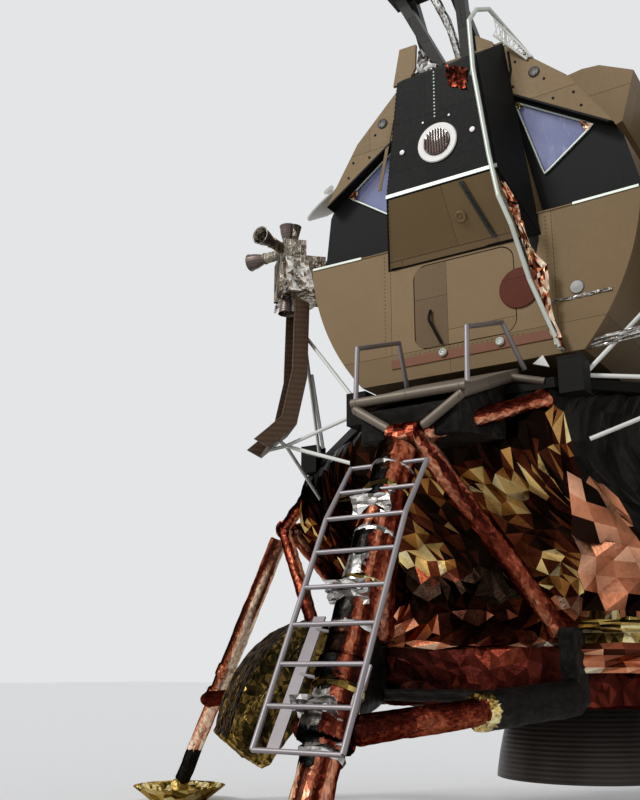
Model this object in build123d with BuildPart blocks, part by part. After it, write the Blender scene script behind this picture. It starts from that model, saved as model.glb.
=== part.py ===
"""Two-stage lunar lander on four legs.

Millimetres. Z is up from the plane the footpads stand on, the ladder faces -Y and X is to the
right of someone who faces the ladder. The origin is on the ground under the middle of the vehicle.
"""
from build123d import *
from math import cos, radians, sin, sqrt
import os

os.makedirs("parts", exist_ok=True)

# Descent stage body: an octagon with four leg faces and four diagonal faces
BODY_HALF = 2110
LEG_FACE_HALF = 685
BODY_BASE_Z = 1460
DECK_Z = 3180
DECK_THICKNESS = 70
SKIRT_Z = 1085
SKIRT_INSET = 55
ENGINE_WELL_HALF = 620
ENGINE_WELL_TOP_Z = 2760
SKIRT_OPENING_R = 860

# Equipment bay in the front left diagonal face, and the pallet that folds out of it
BAY_WIDTH = 1300
BAY_HEIGHT = 1230
BAY_DEPTH = 560
BAY_SILL_Z = 1500
PALLET_WIDTH = 1180
PALLET_LENGTH = 1060
PALLET_THICKNESS = 320
PALLET_CROWN = 160
PALLET_DROP_DEG = 52
PALLET_STOWED_DEG = 90 + PALLET_DROP_DEG

# Landing gear
PAD_R = 4250
PAD_RADIUS = 470
PAD_FLAT_RADIUS = 250
PAD_HEIGHT = 165
PAD_WALL = 14
BALL_RADIUS = 95
BALL_Z = 150
APEX_R = 2990
APEX_Z = 2690
STRUT_UPPER_RADIUS = 88
STRUT_LOWER_RADIUS = 76
FRONT_UPPER_RADIUS = 124
FRONT_LOWER_RADIUS = 104
CLAMP_Z = 1030
CLAMP_GROWTH = 24
CLAMP_LENGTH = 150
CLAMP_REACH = 150
COLLAR_Z = 1290
BRACE_INNER = 705
BRACE_INNER_R = 2200
BRACE_INNER_Z = 1150
BRACE_RADIUS = 74
BRACE_SLEEVE_RADIUS = 104
BRACE_SLEEVE_SHARE = 0.5
OUTRIGGER_RADIUS = 56

# Ladder: height and distance out of its foot, its bend and its top
LADDER_WIDTH = 512
LADDER_FOOT = (-4102, 933)
LADDER_BEND = (-3442, 2134)
LADDER_TOP = (-3160, 2480)
RUNG_COUNT_LOW = 7
RUNG_COUNT_HIGH = 3
RAIL_RADIUS = 16
RUNG_RADIUS = 13

# Porch over the front outrigger
PORCH_HALF = 405
PORCH_FRONT = -2900
PORCH_BACK = -2010
PORCH_FRONT_Z = 2985
PORCH_BACK_Z = 3320
PORCH_THICKNESS = 36
HANDRAIL_RADIUS = 17
HANDRAIL_HEIGHT = 385

# Descent engine and its gimbal
GIMBAL_Z = 1960
BELL_EXIT_Z = 490
BELL_EXIT_RADIUS = 683
BELL_THROAT_Z = 1760
BELL_THROAT_RADIUS = 150
BELL_WALL = 14
CHAMBER_TOP_Z = 2180
CHAMBER_RADIUS = 215
RING_RADIUS = 330
RING_WIDTH = 46
RING_HEIGHT = 90
TRUNNION_RADIUS = 26

# Ascent stage: crew cabin across the front
CABIN_FRONT = -1980
CABIN_BACK = -760
CABIN_WALL = 40
CABIN_BASE_Z = 3385
CABIN_BASE_HALF = 865
CABIN_LOW_ARC = (1170, 3850)
CABIN_WAIST = (1330, 4450)
CABIN_SHOULDER = (1225, 4960)
CABIN_EAVE = (890, 5500)
CABIN_ROOF = (400, 5975)
FLOOR_Z = 3560
FLOOR_THICKNESS = 30

# Front hatch
HATCH_HALF = 406
HATCH_BASE_Z = 3600
HATCH_TOP_Z = 4275
HATCH_CORNER = 110
HATCH_THICKNESS = 34
HATCH_GAP = 8

# Centre panel that stands forward between the windows
PANEL_FRONT = -2310
PANEL_BASE_HALF = 446
PANEL_TOP_HALF = 332
PANEL_BASE_Z = 4730
PANEL_TOP_Z = 5690
PANEL_ROOT_BASE_HALF = 620
PANEL_ROOT_TOP_HALF = 420
PANEL_ROOT_BASE_Z = 4290
PANEL_ROOT_TOP_Z = 5960

# Window recess: sill height, the brow line above it and how far the sill steps back
SILL_Z = 4470
SILL_INNER = 600
BROW_INNER = (420, 5520)
BROW_OUTER = (1180, 5020)
WINDOW_REF = (-1920, 5440)
WINDOW_LEAN = 0.13
WINDOW_CORNERS = [(465, 5446), (1028, 5091), (632, 4825)]
WINDOW_FILLET = 28
GLASS_THICKNESS = 14

# Midsection, tank bays and aft bay
MID_HALF = 720
MID_BACK = 760
MID_BASE_Z = 3700
MID_TOP_Z = 5860
MID_WALL = 40
AFT_BACK = 1880
TUNNEL_RADIUS = 405
TUNNEL_OUTER_RADIUS = 465
TUNNEL_TOP_Z = 6190
TOP_HATCH_GAP = 8

# Thruster quads on the four corners
QUAD_R = 1715
QUAD_Z = 4665
NOZZLE_EXIT_RADIUS = 75
NOZZLE_THROAT_RADIUS = 24
NOZZLE_LENGTH = 170
NOZZLE_REACH = 410
QUAD_BOX_LENGTH = 400
QUAD_BOX_WIDTH = 300
QUAD_BOX_LOW_Z = 4400
QUAD_BOX_HIGH_Z = 4750
QUAD_CROSS_Z = 4830

# Rendezvous radar above the cabin roof
RADAR_X = -120
RADAR_Y = -2150
RADAR_SHAFT_Z = 6655
RADAR_TRUNNION_Z = 6825
RADAR_DISH_RADIUS = 305

# Steerable dish on the left shoulder
STEER_X = -1540
STEER_Y = -1050
STEER_Z = 5440
STEER_DISH_RADIUS = 330
STEER_TURN = 51.6
STEER_STAND_OFF = 96
STEER_FEED_TIP = 310

# Each leg's side and its turn about Z from the right leg
LEGS = [("right", 0), ("rear", 90), ("left", 180), ("front", 270)]


def bar(start, end, radius):
    """Round bar from one point to another."""
    line = Vector(*end) - Vector(*start)
    with BuildPart(Plane(origin=start, z_dir=line)) as piece:
        Cylinder(radius, line.length, align=(Align.CENTER, Align.CENTER, Align.MIN))
    return piece.part


def cone_bar(start, end, start_radius, end_radius):
    """Tapered round bar from one point to another."""
    line = Vector(*end) - Vector(*start)
    with BuildPart(Plane(origin=start, z_dir=line)) as piece:
        Cone(start_radius, end_radius, line.length, align=(Align.CENTER, Align.CENTER, Align.MIN))
    return piece.part


def ball(centre, radius):
    """Sphere about a point."""
    with BuildPart(Plane(origin=centre)) as piece:
        Sphere(radius)
    return piece.part


def square_bar(start, end, width, thickness):
    """Flat-sided bar from one point to another, its width as near to X as its line allows."""
    line = Vector(*end) - Vector(*start)
    across = Vector(1, 0, 0) - line * (line.X / line.length**2)
    with BuildPart(Plane(origin=start, x_dir=across, z_dir=line)) as piece:
        Box(width, thickness, line.length, align=(Align.CENTER, Align.CENTER, Align.MIN))
    return piece.part


def block(low, high):
    """Square-sided block between two opposite corners."""
    size = [b - a for a, b in zip(low, high)]
    with BuildPart(Plane(origin=low)) as piece:
        Box(*size, align=(Align.MIN, Align.MIN, Align.MIN))
    return piece.part


def prism(outline, plane, depth):
    """Flat-sided solid: an outline on a plane, carried along the plane's normal."""
    with BuildPart() as piece:
        with BuildSketch(plane):
            with BuildLine():
                Polyline(*outline, close=True)
            make_face()
        extrude(amount=depth)
    return piece.part


def hull(low_outline, low_plane, high_outline, high_plane):
    """Ruled solid between two outlines with the same number of corners."""
    with BuildPart() as piece:
        for outline, plane in ((low_outline, low_plane), (high_outline, high_plane)):
            with BuildSketch(plane):
                with BuildLine():
                    Polyline(*outline, close=True)
                make_face()
        loft(ruled=True)
    return piece.part


def octagon(half, face_half):
    """Corners of the stage's octagon."""
    corners = []
    for sx, sy in ((1, 1), (-1, 1), (-1, -1), (1, -1)):
        pair = [(sx * half, sy * face_half), (sx * face_half, sy * half)]
        corners += pair if sx * sy > 0 else pair[::-1]
    return corners


def xz_plane(y):
    """Plane across the vehicle at a distance along it, normal to the rear."""
    return Plane(origin=(0, y, 0), x_dir=(1, 0, 0), z_dir=(0, -1, 0))


def fitted(piece, *neighbours):
    """Piece cut back to where it meets its neighbours."""
    with BuildPart() as cut:
        add(piece)
        for neighbour in neighbours:
            add(neighbour, mode=Mode.SUBTRACT)
    return cut.part


def finish(piece, label):
    """Name a piece and write it."""
    piece.label = label
    export_step(piece, f"parts/{label}.step")


DIAGONAL = 1 / sqrt(2)
BAY_FACE = (BODY_HALF + LEG_FACE_HALF) / 2
# The bay's own frame: x along the face, y into the body, z up, origin on the sill's outer edge
BAY_PLANE = Plane(
    origin=(-BAY_FACE, -BAY_FACE, BAY_SILL_Z), x_dir=(DIAGONAL, -DIAGONAL, 0), z_dir=(0, 0, 1)
)

# Stage body with the engine well and the equipment bay
with BuildPart() as descent_body:
    with BuildSketch(Plane.XY.offset(BODY_BASE_Z)):
        Polygon(*octagon(BODY_HALF, LEG_FACE_HALF), align=None)
    extrude(amount=DECK_Z - DECK_THICKNESS - BODY_BASE_Z)
    with BuildSketch(Plane.XY.offset(BODY_BASE_Z)):
        Rectangle(2 * ENGINE_WELL_HALF, 2 * ENGINE_WELL_HALF)
    extrude(amount=ENGINE_WELL_TOP_Z - BODY_BASE_Z, mode=Mode.SUBTRACT)
    with BuildSketch(BAY_PLANE):
        with Locations((0, BAY_DEPTH / 2)):
            Rectangle(BAY_WIDTH, BAY_DEPTH)
    extrude(amount=BAY_HEIGHT, mode=Mode.SUBTRACT)
finish(descent_body.part, "descent_body")

with BuildPart() as descent_deck:
    with BuildSketch(Plane.XY.offset(DECK_Z - DECK_THICKNESS)):
        Polygon(*octagon(BODY_HALF + 20, LEG_FACE_HALF + 8), align=None)
    extrude(amount=DECK_THICKNESS)
finish(descent_deck.part, "descent_deck")

with BuildPart() as base_heat_shield:
    with BuildSketch(Plane.XY.offset(SKIRT_Z)):
        Polygon(*octagon(BODY_HALF - SKIRT_INSET, LEG_FACE_HALF - SKIRT_INSET / 2), align=None)
        Circle(SKIRT_OPENING_R, mode=Mode.SUBTRACT)
    extrude(amount=BODY_BASE_Z - SKIRT_Z)
finish(base_heat_shield.part, "base_heat_shield")

# Dark boxes on the deck's eight corners, where the deflector tubes are held
CORNER_BOX = 165
CORNER_BOX_LOW_Z = 3050
CORNER_BOX_HIGH_Z = 3300
with BuildPart() as deck_corner_boxes:
    for x, y in octagon(BODY_HALF - 30, LEG_FACE_HALF + 130):
        with Locations((x, y, (CORNER_BOX_LOW_Z + CORNER_BOX_HIGH_Z) / 2)):
            Box(CORNER_BOX, CORNER_BOX, CORNER_BOX_HIGH_Z - CORNER_BOX_LOW_Z)
corner_box_part = fitted(deck_corner_boxes.part, descent_body.part, descent_deck.part)
finish(corner_box_part, "deck_corner_boxes")

# Each leg is built in the same way and turned to its side
STRUT_RUN = PAD_R - APEX_R
STRUT_RISE = APEX_Z - BALL_Z
STRUT_PER_Z = STRUT_RUN / STRUT_RISE
STRUT_SPLIT_Z = 955


def strut_out(z):
    """Distance out of a primary strut's axis at a height."""
    return PAD_R - (z - BALL_Z) * STRUT_PER_Z


LUG_ACROSS = LEG_FACE_HALF - 70
LUG_LOW_Z = BODY_BASE_Z + 110
LUG_HIGH_Z = DECK_Z - 150
APEX_BEAM = (APEX_R - 60, 105, APEX_Z)

# The right leg's pieces; the other legs are the same, turned
with BuildPart() as outrigger:
    for hand in (-1, 1):
        foot_low = (BODY_HALF + 45, hand * LUG_ACROSS, LUG_LOW_Z)
        foot_high = (BODY_HALF + 45, hand * LUG_ACROSS, LUG_HIGH_Z)
        apex = (APEX_BEAM[0], hand * 70, APEX_Z)
        add(bar(foot_low, apex, OUTRIGGER_RADIUS + 8))
        add(bar(foot_high, apex, OUTRIGGER_RADIUS))
        add(ball(foot_low, OUTRIGGER_RADIUS + 22))
        add(ball(foot_high, OUTRIGGER_RADIUS + 14))
    add(bar((APEX_BEAM[0], -APEX_BEAM[1], APEX_Z), APEX_BEAM, 85))
outrigger_part = fitted(outrigger.part, descent_body.part, descent_deck.part)

with BuildPart() as footpad:
    with BuildSketch(Plane.XZ):
        with BuildLine():
            Polyline(
                (0, 0),
                (PAD_FLAT_RADIUS, 0),
                (PAD_RADIUS, PAD_HEIGHT),
                (PAD_RADIUS - PAD_WALL, PAD_HEIGHT),
                (PAD_FLAT_RADIUS - PAD_WALL / 2, 2 * PAD_WALL),
                (0, 2 * PAD_WALL),
                close=True,
            )
        make_face()
    revolve(axis=Axis.Z)
    with Locations((0, 0, 2 * PAD_WALL)):
        Cylinder(BALL_RADIUS + 45, 60, align=(Align.CENTER, Align.CENTER, Align.MIN))
    with Locations((0, 0, BALL_Z)):
        Sphere(BALL_RADIUS)
footpad_part = footpad.part.moved(Location((PAD_R, 0, 0)))

def primary_strut(upper_radius, lower_radius):
    """Primary strut of the right leg: two telescoped tubes, a collar and the secondary struts' clamp."""
    half = CLAMP_LENGTH / 2
    with BuildPart() as strut:
        # upper end, lower end, radius
        for high_z, low_z, radius in (
            (APEX_Z - 100, STRUT_SPLIT_Z, upper_radius),
            (STRUT_SPLIT_Z, BALL_Z + 70, lower_radius),
            (CLAMP_Z + half, CLAMP_Z - half, upper_radius + CLAMP_GROWTH),
            (COLLAR_Z + 45, COLLAR_Z - 45, upper_radius + 14),
        ):
            add(bar((strut_out(high_z), 0, high_z), (strut_out(low_z), 0, low_z), radius))
    return fitted(strut.part, footpad_part, outrigger_part)


# The front leg's struts carry a thicker wrap than the others
plain_strut = primary_strut(STRUT_UPPER_RADIUS, STRUT_LOWER_RADIUS)
front_strut = primary_strut(FRONT_UPPER_RADIUS, FRONT_LOWER_RADIUS)


with BuildPart() as secondary_pair:
    for hand in (-1, 1):
        inner = (BRACE_INNER_R, hand * BRACE_INNER, BRACE_INNER_Z)
        outer = (strut_out(CLAMP_Z) - 25, hand * CLAMP_REACH, CLAMP_Z - 10)
        sleeve = Vector(*inner) + (Vector(*outer) - Vector(*inner)) * BRACE_SLEEVE_SHARE
        add(bar(inner, tuple(sleeve), BRACE_SLEEVE_RADIUS))
        add(bar(tuple(sleeve), outer, BRACE_RADIUS))
        add(bar((outer[0], hand * 50, outer[2]), (outer[0], hand * (CLAMP_REACH + 55), outer[2]), 54))
plain_braces = fitted(secondary_pair.part, plain_strut)
front_braces = fitted(secondary_pair.part, front_strut)

# Truss that hangs from the stage's lower corners and carries the secondary struts' inner ends
TRUSS_POST = 112
TRUSS_LOW_Z = 1095
TRUSS_HIGH_Z = 1560
with BuildPart() as downlock_truss:
    for hand in (-1, 1):
        post_y = hand * BRACE_INNER
        post_low = (BODY_HALF - 60, post_y - TRUSS_POST / 2, TRUSS_LOW_Z)
        add(block(post_low, (BRACE_INNER_R + TRUSS_POST / 2, post_y + TRUSS_POST / 2, TRUSS_HIGH_Z)))
    truss_end = (BRACE_INNER_R, BRACE_INNER, BRACE_INNER_Z)
    add(bar((BRACE_INNER_R, -BRACE_INNER, BRACE_INNER_Z), truss_end, 40))
truss_neighbours = (descent_body.part, base_heat_shield.part, outrigger_part, plain_braces)
truss_part = fitted(downlock_truss.part, *truss_neighbours)

turned = {}
for side, turn in LEGS:
    strut_part = front_strut if side == "front" else plain_strut
    for name, piece in (("footpad", footpad_part), ("primary_strut", strut_part)):
        turned[name, side] = piece.rotate(Axis.Z, turn)
        finish(turned[name, side], f"{name}_{side}")

with BuildPart() as outriggers:
    for side, turn in LEGS:
        add(outrigger_part.rotate(Axis.Z, turn))
finish(outriggers.part, "outriggers")

with BuildPart() as secondary_struts_all:
    for side, turn in LEGS:
        braces = front_braces if side == "front" else plain_braces
        add(braces.rotate(Axis.Z, turn))
finish(secondary_struts_all.part, "secondary_struts")

with BuildPart() as downlock_trusses:
    for side, turn in LEGS:
        add(truss_part.rotate(Axis.Z, turn))
finish(downlock_trusses.part, "downlock_trusses")

# Ladder: two bent rails with rungs, held off the front strut by three brackets
def ladder_point(share, lower):
    """Point on the ladder's middle line: share 0 is the lower end of that stretch."""
    start, end = (LADDER_FOOT, LADDER_BEND) if lower else (LADDER_BEND, LADDER_TOP)
    return (start[0] + share * (end[0] - start[0]), start[1] + share * (end[1] - start[1]))


with BuildPart() as ladder:
    for hand in (-1, 1):
        x = hand * LADDER_WIDTH / 2
        add(bar((x, *LADDER_FOOT), (x, *LADDER_BEND), RAIL_RADIUS))
        add(bar((x, *LADDER_BEND), (x, *LADDER_TOP), RAIL_RADIUS))
        add(ball((x, *LADDER_BEND), RAIL_RADIUS))
    rungs = [ladder_point(i / (RUNG_COUNT_LOW - 1), True) for i in range(RUNG_COUNT_LOW)]
    rungs += [ladder_point(i / (RUNG_COUNT_HIGH - 1), False) for i in range(1, RUNG_COUNT_HIGH)]
    for y, z in rungs:
        add(bar((-LADDER_WIDTH / 2, y, z), (LADDER_WIDTH / 2, y, z), RUNG_RADIUS))
    for index in (1, 4, 7):
        y, z = rungs[index]
        for hand in (-1, 1):
            add(bar((hand * 90, y, z), (hand * 70, -strut_out(z - 40) + 10, z - 40), 20))
    # flat guard strips between the rails and the strut: upper end, lower end
    for high, low in (
        ((-298, -3440, 1590), (-283, -3900, 910)),
        ((140, -3690, 1330), (117, -3900, 955)),
    ):
        add(square_bar(low, high, 76, 12))
        guard_x = high[0] * 0.97
        for share in (0.55, 0.9):
            y, z = [a + share * (b - a) for a, b in zip(low[1:], high[1:])]
            add(bar((guard_x, y, z), (guard_x * 0.3, -strut_out(z - 30) + 20, z - 30), 9))
finish(fitted(ladder.part, turned["primary_strut", "front"]), "ladder")

PORCH_SLOPE = (PORCH_BACK_Z - PORCH_FRONT_Z) / (PORCH_BACK - PORCH_FRONT)


def porch_z(y):
    """Height of the porch's top at a distance along the vehicle."""
    return PORCH_FRONT_Z + (y - PORCH_FRONT) * PORCH_SLOPE


with BuildPart() as porch:
    with BuildSketch(Plane.YZ.offset(-PORCH_HALF)):
        with BuildLine():
            Polyline(
                (PORCH_FRONT, PORCH_FRONT_Z),
                (PORCH_BACK, PORCH_BACK_Z),
                (PORCH_BACK, PORCH_BACK_Z - PORCH_THICKNESS),
                (PORCH_FRONT, PORCH_FRONT_Z - PORCH_THICKNESS),
                close=True,
            )
        make_face()
    extrude(amount=2 * PORCH_HALF)
    lip_z = PORCH_FRONT_Z - 12
    add(bar((-PORCH_HALF, PORCH_FRONT, lip_z), (PORCH_HALF, PORCH_FRONT, lip_z), 30))
    for hand in (-1, 1):
        side_x = hand * (PORCH_HALF - 25)
        rail_front = (side_x, PORCH_FRONT, PORCH_FRONT_Z - 55)
        rail_back = (side_x, PORCH_BACK, PORCH_BACK_Z - 55)
        add(bar(rail_front, rail_back, 30))
        add(bar(rail_front, (hand * 110, -APEX_R + 70, APEX_Z + 60), 30))
        stand = (hand * (LEG_FACE_HALF - 60), -BODY_HALF - 10, DECK_Z - 20)
        add(bar((side_x, -BODY_HALF - 40, porch_z(-BODY_HALF - 40) - 40), stand, 26))
porch_part = fitted(porch.part, descent_deck.part, outriggers.part)
finish(porch_part, "porch")

# Dark cover under the porch, from its floor down to the outrigger
COVER_OUTLINE = [
    (PORCH_FRONT + 12, porch_z(PORCH_FRONT) - 80),
    (PORCH_FRONT + 12, 2690),
    (-BODY_HALF - 25, 2795),
    (-BODY_HALF - 25, porch_z(-BODY_HALF - 25) - 80),
]
with BuildPart() as porch_cover:
    with BuildSketch(Plane.YZ.offset(-PORCH_HALF + 55)):
        with BuildLine():
            Polyline(*COVER_OUTLINE, close=True)
        make_face()
    extrude(amount=2 * PORCH_HALF - 110)
cover_neighbours = (porch_part, outriggers.part, turned["primary_strut", "front"], descent_deck.part)
cover_part = fitted(porch_cover.part, *cover_neighbours)
finish(cover_part, "porch_cover")

with BuildPart() as porch_handrails:
    for hand in (-1, 1):
        side_x = hand * (PORCH_HALF - 8)
        corners = [
            (side_x, PORCH_FRONT + 35, PORCH_FRONT_Z + 15),
            (side_x, PORCH_FRONT + 60, PORCH_FRONT_Z + HANDRAIL_HEIGHT),
            (side_x, PORCH_FRONT + 650, PORCH_FRONT_Z + HANDRAIL_HEIGHT + 215),
            (side_x + hand * 58, PORCH_BACK - 12, PORCH_BACK_Z - 20),
        ]
        for start, end in zip(corners, corners[1:]):
            add(bar(start, end, HANDRAIL_RADIUS))
        for corner in corners[1:3]:
            add(ball(corner, HANDRAIL_RADIUS))
finish(fitted(porch_handrails.part, porch_part), "porch_handrails")

# Equipment pallet, folded out: a tray with its load, on two hinge pins below the bay's sill
HINGE_OUT = 34
HINGE_PIN_RADIUS = 12
HINGE_EYE_RADIUS = 24
HINGE_ACROSS = 470
PALLET_CLEAR = 40
PALLET_EDGE = 50
PALLET_LEAN = radians(PALLET_DROP_DEG)
OUTWARD = Vector(-DIAGONAL, -DIAGONAL, 0)
ALONG_FACE = Vector(DIAGONAL, -DIAGONAL, 0)
HINGE_MIDDLE = BAY_PLANE.origin + OUTWARD * HINGE_OUT
PALLET_PLANE = Plane(
    origin=HINGE_MIDDLE,
    x_dir=(DIAGONAL, -DIAGONAL, 0),
    z_dir=(-DIAGONAL * sin(PALLET_LEAN), -DIAGONAL * sin(PALLET_LEAN), cos(PALLET_LEAN)),
)
# The packed load under its blanket: an arch across the pallet's side view
PALLET_SIDE = Plane(
    origin=tuple(HINGE_MIDDLE + ALONG_FACE * (PALLET_WIDTH / 2 - PALLET_EDGE)),
    x_dir=-PALLET_PLANE.y_dir,
    z_dir=-ALONG_FACE,
)
CROWN_START = (PALLET_CLEAR + PALLET_EDGE, PALLET_THICKNESS - 1)
CROWN_SHOULDER = (PALLET_CLEAR + PALLET_EDGE, PALLET_THICKNESS + PALLET_CROWN * 0.4)
CROWN_TOP = (PALLET_CLEAR + PALLET_LENGTH * 0.42, PALLET_THICKNESS + PALLET_CROWN)
CROWN_END = (PALLET_CLEAR + PALLET_LENGTH - PALLET_EDGE, PALLET_THICKNESS - 1)
with BuildPart() as pallet_crown:
    with BuildSketch(PALLET_SIDE):
        with BuildLine():
            Line(CROWN_START, CROWN_SHOULDER)
            ThreePointArc(CROWN_SHOULDER, CROWN_TOP, CROWN_END)
            Line(CROWN_END, CROWN_START)
        make_face()
    extrude(amount=PALLET_WIDTH - 2 * PALLET_EDGE)

with BuildPart() as equipment_pallet:
    with BuildSketch(PALLET_PLANE):
        with Locations((0, -PALLET_LENGTH / 2 - PALLET_CLEAR)):
            Rectangle(PALLET_WIDTH, PALLET_LENGTH)
    extrude(amount=PALLET_THICKNESS)
    chamfer(equipment_pallet.edges().filter_by(Axis(PALLET_PLANE.origin, PALLET_PLANE.z_dir)), 60)
    add(pallet_crown.part)
    for hand in (-1, 1):
        with BuildSketch(PALLET_PLANE):
            with Locations((hand * HINGE_ACROSS, -PALLET_CLEAR / 2 - 4)):
                Rectangle(50, PALLET_CLEAR + 8)
        extrude(amount=HINGE_EYE_RADIUS)
        eye_end = HINGE_MIDDLE + ALONG_FACE * (hand * HINGE_ACROSS + 25)
        eye_start = eye_end - ALONG_FACE * 50
        add(bar(tuple(eye_start), tuple(eye_end), HINGE_EYE_RADIUS))
        add(bar(tuple(eye_start), tuple(eye_end), HINGE_PIN_RADIUS + 1), mode=Mode.SUBTRACT)
finish(equipment_pallet.part, "equipment_pallet")

with BuildPart() as pallet_hinges:
    for hand in (-1, 1):
        pin_middle = HINGE_MIDDLE + ALONG_FACE * hand * HINGE_ACROSS
        add(bar(tuple(pin_middle - ALONG_FACE * 60), tuple(pin_middle + ALONG_FACE * 60), HINGE_PIN_RADIUS))
        for side in (-1, 1):
            with BuildSketch(BAY_PLANE.offset(-30)):
                with Locations((hand * HINGE_ACROSS + side * 46, -HINGE_OUT / 2 - 9)):
                    Rectangle(22, HINGE_OUT + 18)
            extrude(amount=50)
finish(fitted(pallet_hinges.part, descent_body.part), "pallet_hinges")

# Descent engine: gimbal ring on two trunnions, engine in the ring on two more
BELL_OUTLINE = [(BELL_THROAT_RADIUS, BELL_THROAT_Z), (583, 935), (BELL_EXIT_RADIUS, BELL_EXIT_Z)]
with BuildPart() as descent_engine:
    with BuildSketch(Plane.XZ):
        with BuildLine():
            ThreePointArc(*BELL_OUTLINE)
            Line(BELL_OUTLINE[-1], (BELL_EXIT_RADIUS - BELL_WALL, BELL_EXIT_Z))
            ThreePointArc(*[(r - BELL_WALL, z) for r, z in BELL_OUTLINE[::-1]])
            Line((BELL_THROAT_RADIUS - BELL_WALL, BELL_THROAT_Z), BELL_OUTLINE[0])
        make_face()
    revolve(axis=Axis.Z)
    with BuildSketch(Plane.XY.offset(BELL_THROAT_Z)):
        Circle(BELL_THROAT_RADIUS)
    with BuildSketch(Plane.XY.offset(BELL_THROAT_Z + 120)):
        Circle(CHAMBER_RADIUS)
    loft(ruled=True)
    with BuildSketch(Plane.XY.offset(BELL_THROAT_Z + 120)):
        Circle(CHAMBER_RADIUS)
    extrude(amount=CHAMBER_TOP_Z - BELL_THROAT_Z - 120)
    with Locations((0, 0, CHAMBER_TOP_Z)):
        Cylinder(CHAMBER_RADIUS - 60, 90, align=(Align.CENTER, Align.CENTER, Align.MIN))
    add(bar((-RING_RADIUS + 4, 0, GIMBAL_Z), (RING_RADIUS - 4, 0, GIMBAL_Z), TRUNNION_RADIUS))
finish(descent_engine.part, "descent_engine")

with BuildPart() as gimbal_ring:
    with BuildSketch(Plane.XY.offset(GIMBAL_Z - RING_HEIGHT / 2)):
        Circle(RING_RADIUS + RING_WIDTH)
        Circle(RING_RADIUS, mode=Mode.SUBTRACT)
    extrude(amount=RING_HEIGHT)
    for hand in (-1, 1):
        trunnion_end = (0, hand * (RING_RADIUS + 120), GIMBAL_Z)
        add(bar((0, hand * (RING_RADIUS + 10), GIMBAL_Z), trunnion_end, TRUNNION_RADIUS))
finish(gimbal_ring.part, "gimbal_ring")

with BuildPart() as engine_mount:
    for hand in (-1, 1):
        near_y, far_y = sorted((hand * (RING_RADIUS + 126), hand * ENGINE_WELL_HALF))
        add(block((-60, near_y, GIMBAL_Z - 80), (60, far_y, GIMBAL_Z + 80)))
finish(engine_mount.part, "engine_mount")

# Crew cabin across the front
def cabin_outline(y, inset=0):
    """Cross-section of the cabin on the plane at y, drawn smaller by an inset."""
    with BuildSketch(xz_plane(y)) as section:
        with BuildLine():
            Line((0, CABIN_BASE_Z), (CABIN_BASE_HALF, CABIN_BASE_Z))
            ThreePointArc((CABIN_BASE_HALF, CABIN_BASE_Z), CABIN_LOW_ARC, CABIN_WAIST)
            Polyline(CABIN_WAIST, CABIN_SHOULDER, CABIN_EAVE, CABIN_ROOF, (0, CABIN_ROOF[1]))
            mirror(about=Plane.YZ)
        make_face()
        if inset:
            offset(amount=-inset, kind=Kind.INTERSECTION, mode=Mode.REPLACE)
    return section.sketch


WINDOW_NORMAL = Vector(0, -1, -WINDOW_LEAN).normalized()
BROW_SLOPE = (BROW_OUTER[1] - BROW_INNER[1]) / (BROW_OUTER[0] - BROW_INNER[0])
RECESS_OUT = 1500
RECESS_DEEP = 420


def window_plane(behind=0):
    """Plane of the window recess, moved into the cabin by a distance."""
    origin = Vector(0, WINDOW_REF[0], WINDOW_REF[1]) - WINDOW_NORMAL * behind
    return Plane(origin=origin, x_dir=(1, 0, 0), z_dir=WINDOW_NORMAL)


def recess(hand, grow, behind):
    """Space in front of one window: under the brow line, over the sill, before the window plane."""
    outline = [
        (hand * (SILL_INNER - grow), SILL_Z - grow),
        (hand * RECESS_OUT, SILL_Z - grow),
        (hand * RECESS_OUT, BROW_INNER[1] + BROW_SLOPE * (RECESS_OUT - BROW_INNER[0]) + grow),
        (hand * (BROW_INNER[0] - grow), BROW_INNER[1] + grow),
    ]
    with BuildPart() as space:
        with BuildSketch(xz_plane(CABIN_FRONT - 50)):
            with BuildLine():
                Polyline(*outline, close=True)
            make_face()
        extrude(amount=-RECESS_DEEP)
        split(bisect_by=window_plane(behind), keep=Keep.TOP)
    return space.part


def window_prism(hand, grow, depth, front):
    """Rounded triangle of one window, carried back from a distance before the window plane."""
    plane = window_plane(-front)
    corners = []
    for x, z in WINDOW_CORNERS:
        y = WINDOW_REF[0] + (WINDOW_REF[1] - z) * WINDOW_LEAN
        local = plane.to_local_coords(Vector(hand * x, y, z))
        corners.append((local.X, local.Y))
    with BuildPart() as opening:
        with BuildSketch(plane) as window_face:
            with BuildLine():
                Polyline(*corners, close=True)
            make_face()
            fillet(window_face.vertices(), WINDOW_FILLET)
        extrude(amount=-depth)
    return opening.part


with BuildPart() as cabin_cavity:
    inner_section = cabin_outline(CABIN_FRONT + CABIN_WALL, CABIN_WALL)
    extrude(inner_section, amount=CABIN_BACK - CABIN_FRONT - 2 * CABIN_WALL, dir=(0, 1, 0))
    for hand in (-1, 1):
        add(recess(hand, CABIN_WALL, CABIN_WALL), mode=Mode.SUBTRACT)

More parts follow.
